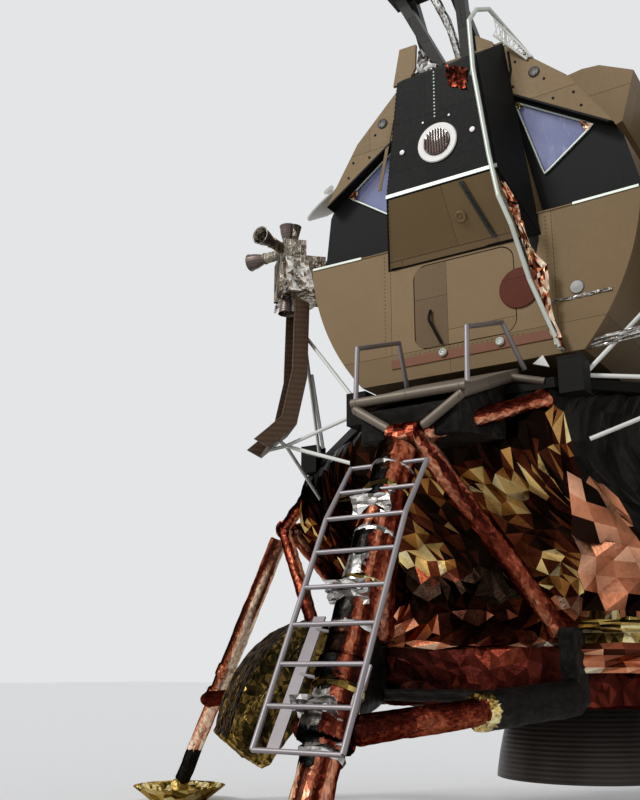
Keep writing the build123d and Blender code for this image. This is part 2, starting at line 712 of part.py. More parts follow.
with BuildPart() as cabin_shell:
    extrude(cabin_outline(CABIN_FRONT), amount=CABIN_BACK - CABIN_FRONT, dir=(0, 1, 0))
    add(cabin_cavity.part, mode=Mode.SUBTRACT)
    for hand in (-1, 1):
        add(recess(hand, 0, 0), mode=Mode.SUBTRACT)
        add(window_prism(hand, 0, 120, 40), mode=Mode.SUBTRACT)
    with BuildSketch(xz_plane(CABIN_FRONT)):
        with Locations((0, (HATCH_BASE_Z + HATCH_TOP_Z) / 2)):
            RectangleRounded(2 * HATCH_HALF, HATCH_TOP_Z - HATCH_BASE_Z, HATCH_CORNER)
    extrude(amount=-CABIN_WALL * 1.5, mode=Mode.SUBTRACT)
    with BuildSketch(xz_plane(CABIN_BACK)):
        with Locations((0, (MID_BASE_Z + MID_TOP_Z) / 2)):
            Rectangle(2 * (MID_HALF - MID_WALL), MID_TOP_Z - MID_BASE_Z - 2 * MID_WALL)
    extrude(amount=CABIN_WALL * 1.5, mode=Mode.SUBTRACT)
finish(cabin_shell.part, "cabin_shell")

with BuildPart() as window_glass:
    for hand in (-1, 1):
        add(window_prism(hand, 0, GLASS_THICKNESS, -8))
finish(window_glass.part, "window_glass")

with BuildPart() as cabin_floor:
    floor_low = (-800, CABIN_FRONT + CABIN_WALL, FLOOR_Z - FLOOR_THICKNESS)
    add(block(floor_low, (800, CABIN_BACK - CABIN_WALL, FLOOR_Z)))
finish(cabin_floor.part, "cabin_floor")

with BuildPart() as instrument_panel:
    with BuildSketch(Plane.YZ.offset(-390)):
        with BuildLine():
            Polyline(
                (-1940, 4420),
                (-1940, 5500),
                (-1800, 5500),
                (-1700, 4800),
                (-1560, 4520),
                (-1560, 4420),
                close=True,
            )
        make_face()
    extrude(amount=780)
finish(fitted(instrument_panel.part, cabin_shell.part), "instrument_panel")


def trapezium(base_half, base_z, top_half, top_z):
    """Corners of an upright trapezium about the middle line."""
    return [(-base_half, base_z), (base_half, base_z), (top_half, top_z), (-top_half, top_z)]


with BuildPart() as centre_panel:
    face = trapezium(PANEL_BASE_HALF, PANEL_BASE_Z, PANEL_TOP_HALF, PANEL_TOP_Z)
    root = trapezium(PANEL_ROOT_BASE_HALF, PANEL_ROOT_BASE_Z, PANEL_ROOT_TOP_HALF, PANEL_ROOT_TOP_Z)
    add(hull(face, xz_plane(PANEL_FRONT), root, xz_plane(CABIN_FRONT)))
finish(centre_panel.part, "centre_panel")

# Shoulder fairings: facets that stand out above each side of the cabin behind its front face
FAIRING_FRONT = -1500
FAIRING_OUTLINE = [
    (735, 5640),
    (746, 5824),
    (871, 5839),
    (1006, 5823),
    (1258, 5685),
    (1140, 5288),
    (1030, 5250),
    (880, 5490),
]
with BuildPart() as shoulder_fairings:
    for hand in (-1, 1):
        outline = [(hand * x, z) for x, z in FAIRING_OUTLINE]
        add(prism(outline, xz_plane(FAIRING_FRONT), CABIN_BACK * -1 + FAIRING_FRONT))
fairing_part = fitted(shoulder_fairings.part, cabin_shell.part)
finish(fairing_part, "shoulder_fairings")

# Upright plates on the roof's front edge, one on each side of the centre panel
# distance along the vehicle, outline
CHEEKS = [
    (-2100, [(-416, 6152), (-268, 6145), (-280, 5930), (-330, 5850), (-480, 5830)]),
    (-2015, [(206, 6090), (347, 5976), (405, 5541), (330, 5560), (225, 5790)]),
]
CHEEK_THICKNESS = 26
with BuildPart() as cheek_plates:
    for y, outline in CHEEKS:
        add(prism(outline, xz_plane(y), -CHEEK_THICKNESS))
    for x, front_y in ((-400, -2095), (-310, -2095), (300, -2010)):
        add(bar((x, front_y, 5900), (x, CABIN_FRONT + CABIN_WALL / 2, 5880), 18))
finish(fitted(cheek_plates.part, cabin_shell.part, centre_panel.part), "cheek_plates")

# Midsection behind the cabin, open to it in front, with the tunnel through its roof
with BuildPart() as midsection:
    add(block((-MID_HALF, CABIN_BACK, MID_BASE_Z), (MID_HALF, MID_BACK, MID_TOP_Z)))
    inner_low = (-MID_HALF + MID_WALL, CABIN_BACK - 10, MID_BASE_Z + MID_WALL)
    inner_high = (MID_HALF - MID_WALL, MID_BACK - MID_WALL, MID_TOP_Z - MID_WALL)
    add(block(inner_low, inner_high), mode=Mode.SUBTRACT)
    with BuildSketch(Plane.XY.offset(MID_TOP_Z)):
        Circle(TUNNEL_RADIUS)
    extrude(amount=-MID_WALL - 10, mode=Mode.SUBTRACT)
finish(midsection.part, "midsection")

with BuildPart() as docking_tunnel:
    with BuildSketch(Plane.XY.offset(MID_TOP_Z)):
        Circle(TUNNEL_OUTER_RADIUS)
        Circle(TUNNEL_RADIUS, mode=Mode.SUBTRACT)
    extrude(amount=TUNNEL_TOP_Z - MID_TOP_Z)
    with BuildSketch(Plane.XY.offset(TUNNEL_TOP_Z - 45)):
        Circle(TUNNEL_OUTER_RADIUS + 35)
        Circle(TUNNEL_RADIUS, mode=Mode.SUBTRACT)
    extrude(amount=45)
finish(docking_tunnel.part, "docking_tunnel")

# Tank bays: half outlines across the vehicle, from the midsection's wall outwards
# side, hand, foot, low arc's end, low arc's middle, waist, shoulder, eave
TANK_BAYS = [
    ("right", 1, 1500, (2420, 4560), (2190, 3950), (2330, 5060), (1880, 5420), (1240, 5790)),
    ("left", -1, 1180, (1820, 4500), (1650, 3960), (1790, 5060), (1500, 5420), (1120, 5790)),
]
TANK_BAY_FRONT = -700
TANK_BAY_DEPTH = 1400
tank_parts = []
for side, hand, foot, low_end, low_mid, waist, shoulder, eave in TANK_BAYS:
    with BuildPart() as tank_bay:
        with BuildSketch(xz_plane(TANK_BAY_FRONT)):
            with BuildLine():
                Line((hand * MID_HALF, MID_BASE_Z), (hand * foot, MID_BASE_Z))
                ThreePointArc(
                    (hand * foot, MID_BASE_Z),
                    (hand * low_mid[0], low_mid[1]),
                    (hand * low_end[0], low_end[1]),
                )
                Polyline(
                    (hand * low_end[0], low_end[1]),
                    (hand * waist[0], waist[1]),
                    (hand * shoulder[0], shoulder[1]),
                    (hand * eave[0], eave[1]),
                    (hand * MID_HALF, MID_TOP_Z),
                    (hand * MID_HALF, MID_BASE_Z),
                )
            make_face()
        extrude(amount=-TANK_BAY_DEPTH)
    tank_parts.append(tank_bay.part)
    finish(tank_bay.part, f"tank_bay_{side}")

AFT_HALF = 1180
AFT_FRONT = 1260
AFT_CORNER = 230
AFT_BASE_Z = 3850
AFT_TOP_Z = 5640
AFT_LINK_HALF = 560
with BuildPart() as aft_bay:
    with BuildSketch(Plane.XY.offset(AFT_BASE_Z)):
        with BuildLine():
            Polyline(
                (-AFT_HALF, AFT_FRONT),
                (AFT_HALF, AFT_FRONT),
                (AFT_HALF, AFT_BACK - AFT_CORNER),
                (AFT_HALF - AFT_CORNER, AFT_BACK),
                (-AFT_HALF + AFT_CORNER, AFT_BACK),
                (-AFT_HALF, AFT_BACK - AFT_CORNER),
                close=True,
            )
        make_face()
    extrude(amount=AFT_TOP_Z - AFT_BASE_Z)
    add(block((-AFT_LINK_HALF, MID_BACK, AFT_BASE_Z + 120), (AFT_LINK_HALF, AFT_FRONT, AFT_TOP_Z - 160)))
finish(aft_bay.part, "aft_bay")

# Gas tanks in the gap between the midsection and the aft bay
GAS_TANK_RADIUS = 235
GAS_TANK_X = 850
GAS_TANK_Y = AFT_FRONT - GAS_TANK_RADIUS - 20
with BuildPart() as gas_tanks:
    for hand in (-1, 1):
        for z in (4480, 5060):
            add(ball((hand * GAS_TANK_X, GAS_TANK_Y, z), GAS_TANK_RADIUS))
            add(bar((hand * GAS_TANK_X, GAS_TANK_Y, z), (hand * GAS_TANK_X, AFT_FRONT + 30, z), 60))
finish(fitted(gas_tanks.part, aft_bay.part, tank_parts[0], tank_parts[1]), "gas_tanks")

# Underside of the ascent stage and the fittings that join it to the deck
with BuildPart() as ascent_base:
    with BuildSketch(Plane.XY.offset(DECK_Z + 60)):
        Rectangle(1500, 3100)
    extrude(amount=MID_BASE_Z - DECK_Z - 60)
    split_front = block((-800, CABIN_FRONT - 200, DECK_Z), (800, CABIN_BACK, MID_BASE_Z + 1))
    add(split_front, mode=Mode.SUBTRACT)
finish(ascent_base.part, "ascent_base")

with BuildPart() as interstage_fittings:
    for x in (-640, 640):
        for y in (-1300, 1300):
            top = CABIN_BASE_Z if y < 0 else AFT_BASE_Z
            add(cone_bar((x, y, DECK_Z), (x * 0.98, y, top), 70, 45))
ascent_solids = (ascent_base.part, aft_bay.part, cabin_shell.part)
finish(fitted(interstage_fittings.part, descent_deck.part, *ascent_solids), "interstage_fittings")

# Front hatch: a rounded door in the cabin's front face
HATCH_MIDDLE = (HATCH_BASE_Z + HATCH_TOP_Z) / 2
HATCH_FRONT = CABIN_FRONT + 3
with BuildPart() as front_hatch:
    with BuildSketch(xz_plane(HATCH_FRONT)):
        with Locations((0, HATCH_MIDDLE)):
            RectangleRounded(
                2 * (HATCH_HALF - HATCH_GAP),
                HATCH_TOP_Z - HATCH_BASE_Z - 2 * HATCH_GAP,
                HATCH_CORNER - HATCH_GAP,
            )
    extrude(amount=-HATCH_THICKNESS)
finish(front_hatch.part, "front_hatch")

# Top hatch: a plate just under the roof, with a stiffening disc and a latch hub below it
# radius, thickness
TOP_HATCH_DISCS = [
    (TUNNEL_RADIUS + 15, 34),
    (TUNNEL_RADIUS - 20, 30),
    (60, 24),
]

with BuildPart() as top_hatch:
    disc_top = MID_TOP_Z - MID_WALL - TOP_HATCH_GAP
    for radius, thickness in TOP_HATCH_DISCS:
        with Locations((0, 0, disc_top)):
            Cylinder(radius, thickness, align=(Align.CENTER, Align.CENTER, Align.MAX))
        disc_top -= thickness
finish(top_hatch.part, "top_hatch")

# Thruster quads: a wrapped box on each corner with four nozzles, up, down, along and across
QUADS = [("front_left", -1, -1), ("front_right", 1, -1), ("rear_left", -1, 1), ("rear_right", 1, 1)]
QUAD_CENTRE = Vector(QUAD_R, QUAD_R, QUAD_Z)
QUAD_CROSS = Vector(QUAD_R + 30, QUAD_R + 30, QUAD_CROSS_Z)
with BuildPart() as quad:
    box_z = (QUAD_BOX_LOW_Z + QUAD_BOX_HIGH_Z) / 2
    with Locations(Location((QUAD_R - 45, QUAD_R - 45, box_z), (0, 0, 45))):
        Box(QUAD_BOX_LENGTH, QUAD_BOX_WIDTH, QUAD_BOX_HIGH_Z - QUAD_BOX_LOW_Z)
    with Locations(Location((QUAD_R, QUAD_R, QUAD_BOX_HIGH_Z - 2), (0, 0, 45))):
        Box(200, 230, 160, align=(Align.CENTER, Align.CENTER, Align.MIN))
    # centre that the nozzle points away from, its direction
    for centre, direction in (
        (QUAD_CENTRE, (0, 0, 1)),
        (QUAD_CENTRE, (0, 0, -1)),
        (QUAD_CROSS, (1, 0, 0)),
        (QUAD_CROSS, (0, 1, 0)),
    ):
        way = Vector(*direction)
        throat = centre + way * (NOZZLE_REACH - NOZZLE_LENGTH)
        mouth = centre + way * NOZZLE_REACH
        add(bar(tuple(centre), tuple(throat), 46))
        add(cone_bar(tuple(throat), tuple(mouth), NOZZLE_THROAT_RADIUS + 10, NOZZLE_EXIT_RADIUS))
        hollow_start = throat + way * 30
        hollow = cone_bar(tuple(hollow_start), tuple(mouth), NOZZLE_THROAT_RADIUS, NOZZLE_EXIT_RADIUS - 6)
        add(hollow, mode=Mode.SUBTRACT)
quad_turns = {"rear_right": 0, "rear_left": 90, "front_left": 180, "front_right": 270}
quad_parts = []
for name, hand, end in QUADS:
    quad_parts.append(quad.part.rotate(Axis.Z, quad_turns[name]))
    finish(quad_parts[-1], f"thruster_quad_{name}")

with BuildPart() as quad_supports:
    for name, hand, end in QUADS:
        root_x = hand * (CABIN_WAIST[0] - 70 if end < 0 else AFT_HALF - 10)
        root_y = end * (1240 if end < 0 else AFT_FRONT + 180)
        for dz in (-330, 330):
            for dy in (-130, 130):
                start = (root_x, root_y + dy, QUAD_Z + dz * 0.8)
                stop = (hand * (QUAD_R - 120), end * (QUAD_R - 120), QUAD_Z - 80 + dz * 0.22)
                add(bar(start, stop, 20))
finish(fitted(quad_supports.part, cabin_shell.part, aft_bay.part, *quad_parts), "quad_supports")

# Plume deflectors under the quads: troughs that turn outwards at the foot, on tubes
# distance out along the diagonal, height
DEFLECTOR_LINE = [(2330, 4290), (2345, 3640), (2430, 3230), (2650, 3030)]
DEFLECTOR_WALL = 16
DEFLECTOR_HALF = 215
DEFLECTOR_LIP = 110
with BuildPart() as deflector:
    back = [(r - DEFLECTOR_WALL, z - DEFLECTOR_WALL * 0.6) for r, z in DEFLECTOR_LINE]
    lip = [(r + DEFLECTOR_LIP, z + DEFLECTOR_LIP * 0.5) for r, z in DEFLECTOR_LINE]
    add(prism(back + DEFLECTOR_LINE[::-1], xz_plane(DEFLECTOR_HALF), 2 * DEFLECTOR_HALF))
    for y in (DEFLECTOR_HALF, -DEFLECTOR_HALF + DEFLECTOR_WALL):
        add(prism(back + lip[::-1], xz_plane(y), DEFLECTOR_WALL))
with BuildPart() as plume_deflectors:
    for turn in (45, 135, 225, 315):
        add(deflector.part.rotate(Axis.Z, turn))
finish(plume_deflectors.part, "plume_deflectors")

with BuildPart() as deflector_tubes:
    for name, hand, end in QUADS:
        node = (hand * 1741, end * 1741, 3088)
        fork_high = (hand * 1838, end * 1838, 3185)
        fork_low = (hand * 1866, end * 1866, 3036)
        shelf = (hand * 1520, end * 1520, 3085)
        mid = (hand * 1590, end * 1590, 3720)
        high = (hand * 1640, end * 1640, 4080)
        front_corner_high = (hand * 850, end * 1990, 3200)
        front_corner_low = (hand * 850, end * 1960, 2770)
        side_corner_high = (hand * 1990, end * 850, 3200)
        side_corner_low = (hand * 1960, end * 850, 2770)
        # tube's start, tube's end
        for start, stop in (
            (front_corner_high, node),
            (front_corner_low, node),
            (side_corner_high, node),
            (side_corner_low, node),
            (node, fork_high),
            (node, fork_low),
            (front_corner_high, high),
            (side_corner_high, high),
            (shelf, mid),
        ):
            add(bar(start, stop, 15))
finish(
    fitted(
        deflector_tubes.part, descent_body.part, descent_deck.part, plume_deflectors.part, corner_box_part
    ),
    "deflector_tubes",
)

# Rail beside the hatch: up the centre panel's right edge and over the roof
RAIL_ROUTE = [
    (716, -2035, 3412),
    (578, -2160, 3890),
    (525, -2310, 4260),
    (465, -2365, 4470),
    (411, -2365, 4804),
    (322, -2365, 5538),
    (306, -2360, 5960),
    (345, -2300, 6080),
    (406, -2200, 6125),
    (478, -1500, 6085),
]
RAIL_TUBE_RADIUS = 17
with BuildPart() as hatch_rail:
    for start, stop in zip(RAIL_ROUTE, RAIL_ROUTE[1:]):
        add(bar(start, stop, RAIL_TUBE_RADIUS))
    for point in RAIL_ROUTE[1:-1]:
        add(ball(point, RAIL_TUBE_RADIUS))
    # rail's point, the point of the wall that it stands on
    for start, stop in (
        (RAIL_ROUTE[0], (716, CABIN_FRONT - 2, 3412)),
        (RAIL_ROUTE[3], (440, CABIN_FRONT - 60, 4500)),
        (RAIL_ROUTE[5], (290, PANEL_FRONT - 2, 5538)),
        ((430, -1970, 6112), (430, -1970, 5930)),
        (RAIL_ROUTE[-1], (478, -1500, 5880)),
    ):
        add(bar(start, stop, RAIL_TUBE_RADIUS))
finish(fitted(hatch_rail.part, cabin_shell.part, centre_panel.part), "hatch_rail")

LIGHT_Z = 5062
with BuildPart() as tracking_light:
    with BuildSketch(xz_plane(PANEL_FRONT)):
        with Locations((0, LIGHT_Z)):
            Circle(118)
    extrude(amount=28)
    with BuildSketch(xz_plane(PANEL_FRONT - 28)):
        with Locations((0, LIGHT_Z)):
            Circle(74)
    extrude(amount=14)
finish(tracking_light.part, "tracking_light")

# Both dishes: a bowl on a hub and stem, with its feed standing in front
BOWL_WALL = 14
STEM_RADIUS = 24
HUB_RADIUS = 70
HUB_DEPTH = 40


def reflector(radius, stand_off, feed_tip):
    """Bowl about Z on a stem from the origin, its back at stand_off and its feed up to feed_tip."""
    belly = stand_off + radius * 0.1
    rim = stand_off + radius * 0.32
    with BuildPart() as bowl:
        with BuildSketch(Plane.XZ):
            with BuildLine():
                Polyline(
                    (STEM_RADIUS + 6, stand_off + BOWL_WALL),
                    (STEM_RADIUS + 6, feed_tip - 26),
                    (STEM_RADIUS + 30, feed_tip - 26),
                    (STEM_RADIUS + 30, feed_tip),
                    (0, feed_tip),
                    (0, 0),
                    (STEM_RADIUS, 0),
                    (STEM_RADIUS, stand_off - HUB_DEPTH),
                    (HUB_RADIUS, stand_off - HUB_DEPTH),
                    (HUB_RADIUS, stand_off + 4),
                    (radius * 0.55, belly),
                    (radius, rim),
                    (radius, rim + BOWL_WALL),
                )
                ThreePointArc(
                    (radius, rim + BOWL_WALL),
                    (radius * 0.55, belly + BOWL_WALL),
                    (STEM_RADIUS + 6, stand_off + BOWL_WALL),
                )
            make_face()
        revolve(axis=Axis.Z)
    return bowl.part


# Rendezvous radar: pedestal, shaft turntable with its yoke, and the dish on its trunnions
PEDESTAL_TOP_Z = RADAR_SHAFT_Z - 60
PEDESTAL_RADIUS = 150
PEDESTAL_HALF = 330
# foot on the roof, head under the turntable's plate
RADAR_LEGS = [
    ((-108, -1960, 5950), (-368, -2150, PEDESTAL_TOP_Z - 10)),
    ((118, -1960, 5950), (160, -2180, PEDESTAL_TOP_Z - 10)),
    ((-330, -1500, 5955), (-300, -2080, PEDESTAL_TOP_Z - 10)),
    ((130, -1500, 5955), (60, -2080, PEDESTAL_TOP_Z - 10)),
]
with BuildPart() as radar_pedestal:
    for foot, head in RADAR_LEGS:
        add(square_bar(foot, head, 83, 83))
    with BuildSketch(Plane.XY.offset(PEDESTAL_TOP_Z - 35)):
        with Locations((RADAR_X, RADAR_Y)):
            Rectangle(2 * PEDESTAL_HALF, 220)
    extrude(amount=35)
    with Locations((RADAR_X, RADAR_Y, PEDESTAL_TOP_Z)):
        Cylinder(PEDESTAL_RADIUS, 60, align=(Align.CENTER, Align.CENTER, Align.MIN))
finish(fitted(radar_pedestal.part, cabin_shell.part, centre_panel.part), "radar_pedestal")

YOKE_HALF = 175
YOKE_INNER = 140
with BuildPart() as radar_yoke:
    with Locations((RADAR_X, RADAR_Y, RADAR_SHAFT_Z + 1)):
        Cylinder(110, 50, align=(Align.CENTER, Align.CENTER, Align.MIN))
    bridge_low = (RADAR_X - YOKE_HALF, RADAR_Y - 55, RADAR_SHAFT_Z + 40)
    add(block(bridge_low, (RADAR_X + YOKE_HALF, RADAR_Y + 55, RADAR_SHAFT_Z + 85)))
    for hand in (-1, 1):
        low_x, high_x = sorted((RADAR_X + hand * YOKE_INNER, RADAR_X + hand * YOKE_HALF))
        add(block((low_x, RADAR_Y - 45, RADAR_SHAFT_Z + 60), (high_x, RADAR_Y + 45, RADAR_TRUNNION_Z + 45)))
finish(radar_yoke.part, "radar_yoke")

with BuildPart() as radar_dish:
    pin_half = YOKE_INNER - 6
    pin_start = (RADAR_X - pin_half, RADAR_Y, RADAR_TRUNNION_Z)
    add(bar(pin_start, (RADAR_X + pin_half, RADAR_Y, RADAR_TRUNNION_Z), 40))
    add(reflector(RADAR_DISH_RADIUS, 90, 240).moved(Location((RADAR_X, RADAR_Y, RADAR_TRUNNION_Z))))
finish(radar_dish.part, "radar_dish")

# Steerable dish: boom from the tank bay's shoulder, azimuth head, dish on an elevation pin
steer_foot = (STEER_X, STEER_Y, STEER_Z - 220)
with BuildPart() as steer_boom:
    add(bar((-1130, -1000, STEER_Z - 100), steer_foot, 30))
    add(bar((-1320, -690, STEER_Z - 240), steer_foot, 24))
    add(bar((STEER_X, STEER_Y, STEER_Z - 260), (STEER_X, STEER_Y, STEER_Z - 120), 42))
finish(fitted(steer_boom.part, tank_parts[1], fairing_part, cabin_shell.part), "steer_boom")

# The head and dish are drawn facing left, then turned about the head's axis to face front left
steer_axis = Axis((STEER_X, STEER_Y, 0), (0, 0, 1))
with BuildPart() as steer_head:
    add(bar((STEER_X, STEER_Y, STEER_Z - 118), (STEER_X, STEER_Y, STEER_Z - 62), 52))
    for hand in (-1, 1):
        y_low, y_high = sorted((STEER_Y + hand * 62, STEER_Y + hand * 84))
        add(block((STEER_X - 30, y_low, STEER_Z - 70), (STEER_X + 30, y_high, STEER_Z + 34)))
    add(block((STEER_X - 30, STEER_Y - 84, STEER_Z - 82), (STEER_X + 30, STEER_Y + 84, STEER_Z - 62)))
finish(steer_head.part.rotate(steer_axis, STEER_TURN), "steer_head")

with BuildPart() as steer_dish:
    add(bar((STEER_X, STEER_Y - 57, STEER_Z), (STEER_X, STEER_Y + 57, STEER_Z), 24))
    steer_way = Plane(origin=(STEER_X, STEER_Y, STEER_Z), x_dir=(0, 1, 0), z_dir=(-0.673, 0, 0.740))
    add(reflector(STEER_DISH_RADIUS, STEER_STAND_OFF, STEER_FEED_TIP).moved(steer_way.location))
finish(steer_dish.part.rotate(steer_axis, STEER_TURN), "steer_dish")

# Rod and blade antennas
with BuildPart() as rod_antennas:
    add(bar((-820, 500, 5780), (-1020, 560, 6420), 14))
    add(bar((820, 1400, 5640), (1020, 1510, 6340), 14))
    add(bar((-820, 500, 5760), (-820, 500, 5830), 40))
    add(bar((820, 1400, 5600), (820, 1400, 5690), 40))
finish(fitted(rod_antennas.part, aft_bay.part, *tank_parts), "rod_antennas")

# Landing radar under the rear of the stage: bracket and tilting antenna box
ALTIMETER_X = -980
ALTIMETER_Y = 1330
ALTIMETER_PIN_Z = 970
ALTIMETER_HALF_X = 250
ALTIMETER_HALF_Y = 300
ALTIMETER_DEPTH = 130
with BuildPart() as landing_radar_bracket:
    for hand in (-1, 1):
        near_x = ALTIMETER_X + hand * (ALTIMETER_HALF_X + 8)
        low_x, high_x = sorted((near_x, near_x + hand * 24))
        leg_low = (low_x, ALTIMETER_Y - 50, ALTIMETER_PIN_Z - 30)
        add(block(leg_low, (high_x, ALTIMETER_Y + 50, SKIRT_Z)))
finish(landing_radar_bracket.part, "landing_radar_bracket")

with BuildPart() as landing_radar:
    box_top = ALTIMETER_PIN_Z - 20
    box_low = (ALTIMETER_X - ALTIMETER_HALF_X, ALTIMETER_Y - ALTIMETER_HALF_Y, box_top - ALTIMETER_DEPTH)
    box_high = (ALTIMETER_X + ALTIMETER_HALF_X, ALTIMETER_Y + ALTIMETER_HALF_Y, box_top)
    add(block(box_low, box_high))
    pin_half = ALTIMETER_HALF_X + 2
    pin_start = (ALTIMETER_X - pin_half, ALTIMETER_Y, ALTIMETER_PIN_Z)
    add(bar(pin_start, (ALTIMETER_X + pin_half, ALTIMETER_Y, ALTIMETER_PIN_Z), 22))
finish(landing_radar.part, "landing_radar")
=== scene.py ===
# %% [markdown]
# # A two-stage lunar lander, dressed for the camera
# The solid parts of this lander come packed from a CAD program, each at its real size. This lesson
# gives them their looks. We load them as a fixed frame, lay crumpled film blankets over the stage and
# the legs, add the small fittings that the CAD leaves out, and give every surface a material.
# Everything is in metres, Z is up, the ladder faces -Y, and nothing from the CAD is moved.

# %% Load the frame
import math
import bpy
import numpy as np
from mathutils import Matrix, Vector


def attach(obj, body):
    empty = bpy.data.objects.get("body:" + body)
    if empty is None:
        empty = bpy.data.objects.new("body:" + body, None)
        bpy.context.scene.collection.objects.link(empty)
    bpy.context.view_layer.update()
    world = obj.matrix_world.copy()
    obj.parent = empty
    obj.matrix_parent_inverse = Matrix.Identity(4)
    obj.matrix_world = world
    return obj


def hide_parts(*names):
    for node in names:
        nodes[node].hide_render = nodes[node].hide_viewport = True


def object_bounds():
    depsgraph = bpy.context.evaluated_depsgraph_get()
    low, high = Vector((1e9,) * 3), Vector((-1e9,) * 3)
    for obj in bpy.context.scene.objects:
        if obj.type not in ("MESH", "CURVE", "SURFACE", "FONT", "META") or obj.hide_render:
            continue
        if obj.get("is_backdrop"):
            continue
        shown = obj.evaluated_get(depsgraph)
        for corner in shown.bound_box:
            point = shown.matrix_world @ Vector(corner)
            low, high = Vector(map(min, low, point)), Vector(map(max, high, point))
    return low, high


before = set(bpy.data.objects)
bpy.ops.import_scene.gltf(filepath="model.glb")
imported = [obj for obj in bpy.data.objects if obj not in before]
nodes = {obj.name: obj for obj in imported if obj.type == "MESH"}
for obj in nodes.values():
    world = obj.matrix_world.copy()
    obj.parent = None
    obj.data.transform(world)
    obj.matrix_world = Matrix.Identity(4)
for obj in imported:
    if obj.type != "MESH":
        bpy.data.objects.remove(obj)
CAD_BOX = [list(corner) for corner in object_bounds()]
print(len(nodes), "solid parts, box", [[round(v, 3) for v in corner] for corner in CAD_BOX])


# %% [markdown]
# The camera comes first, because every later choice is judged through it. Its place was solved from
# the ladder's rungs, whose spacing is known, so the drawing of the lander lines up with the picture
# it was studied from. A focal length of 42.7 mm on a 36 mm sensor is a natural, slightly wide view.

# %% Camera
CAMERA_PLACE = (2.6668, -8.0055, 1.3004)
CAMERA_YAW, CAMERA_PITCH, CAMERA_ROLL = 33.04, 15.93, 0.18
CAMERA_LENS = 42.71

camera_data = bpy.data.cameras.new("camera")
camera_data.lens = CAMERA_LENS
camera_data.sensor_width = 36
camera_data.clip_end = 400
camera = bpy.data.objects.new("camera", camera_data)
bpy.context.scene.collection.objects.link(camera)
camera.location = CAMERA_PLACE
pan = Matrix.Rotation(math.radians(CAMERA_YAW), 3, "Z")
tilt = Matrix.Rotation(math.radians(90 + CAMERA_PITCH), 3, "X")
camera.rotation_euler = (pan @ tilt @ Matrix.Rotation(math.radians(CAMERA_ROLL), 3, "Z")).to_euler()
bpy.context.scene.camera = camera
print("camera at", CAMERA_PLACE)


# %% [markdown]
# ## Small helpers
# An operator works on whatever is selected, and the loaded parts are all selected at first. So every
# step starts by selecting one object and nothing else. These helpers do that, apply a modifier, and
# hand a finished piece to the frame: its object sits at the origin and its place is in its mesh.

# %% Selecting, applying, finishing
def pick(obj):
    """Make obj the only selected object, and the active one."""
    bpy.ops.object.select_all(action="DESELECT")
    obj.select_set(True)
    bpy.context.view_layer.objects.active = obj
    return obj


def bake_place(obj):
    """Move an object's place, turn and scale into its mesh."""
    pick(obj)
    bpy.ops.object.transform_apply(location=True, rotation=True, scale=True)
    return obj


def modify(obj, kind, **settings):
    """Add a modifier with these settings and apply it at once."""
    pick(obj)
    modifier = obj.modifiers.new(kind.lower(), kind)
    for name, value in settings.items():
        setattr(modifier, name, value)
    bpy.ops.object.modifier_apply(modifier=modifier.name)
    return obj


def copy_of(obj, name):
    """A copy of an object with a mesh of its own."""
    twin = obj.copy()
    twin.data = obj.data.copy()
    twin.name = twin.data.name = name
    for key in list(twin.keys()):
        del twin[key]
    bpy.context.scene.collection.objects.link(twin)
    twin.parent = None
    twin.matrix_world = Matrix.Identity(4)
    return twin


def join(pieces, name):
    """One object from several."""
    bpy.ops.object.select_all(action="DESELECT")
    for piece in pieces:
        piece.select_set(True)
    bpy.context.view_layer.objects.active = pieces[0]
    bpy.ops.object.join()
    pieces[0].name = pieces[0].data.name = name
    return pieces[0]


dressed = []


def dress(obj, slot, body="lander", hides=()):
    """Give a finished piece its body, its material slot and the parts that it stands for."""
    bake_place(obj)
    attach(obj, body)
    if hides:
        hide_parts(*hides)
    obj.data.materials.clear()
    dressed.append((obj, slot))
    return obj


print("helpers ready")


# %% [markdown]
# ## Crumpled film
# The lower stage and the legs are wrapped in thin metallised film. It is creased into long flat shards
# with sharp edges, and each shard mirrors something else: that is what makes it look like film. We
# copy the solid under the film, remesh it evenly, push it about with two cloud textures, and then let
# the Decimate modifier collapse it into facets. To make the facets long and slanted instead of even,
# the shape is pressed together in Z and leaned over before this, and let go again afterwards.

# %% Crumple a copy of a solid
def cloud(name, size, depth=1, kind="CLOUDS"):
    """A noise texture that the Displace modifier reads, its grain about `size` metres."""
    texture = bpy.data.textures.new(name, kind)
    texture.noise_scale = size
    if kind == "CLOUDS":
        texture.noise_depth = depth
    return texture


FOLD = cloud("film folds", 0.30, 1, "VORONOI")
CREASE = cloud("film creases", 0.11, 2)
SQUEEZE, LEAN = 0.24, 0.34


def vertex_places(mesh):
    """All vertices of a mesh as an array."""
    flat = np.zeros(len(mesh.vertices) * 3)
    mesh.vertices.foreach_get("co", flat)
    return flat.reshape(-1, 3)


def press(obj, release=False):
    """Press a mesh together in Z and lean it over, or let it go again."""
    places = vertex_places(obj.data)
    height = places[:, 2] / SQUEEZE if release else places[:, 2].copy()
    way = -1 if release else 1
    places[:, 0] += way * LEAN * np.sin(2.6 * height + 0.6)
    places[:, 1] += way * LEAN * np.sin(2.9 * height - 0.9)
    places[:, 2] = height if release else height * SQUEEZE
    obj.data.vertices.foreach_set("co", places.ravel())
    obj.data.update()


def merge_doubles(obj, distance=0.0004):
    """Weld the loose triangles of a CAD copy into one closed surface."""
    pick(obj)
    bpy.ops.object.mode_set(mode="EDIT")
    bpy.ops.mesh.select_all(action="SELECT")
    bpy.ops.mesh.remove_doubles(threshold=distance)
    bpy.ops.mesh.normals_make_consistent(inside=False)
    bpy.ops.object.mode_set(mode="OBJECT")
    return obj


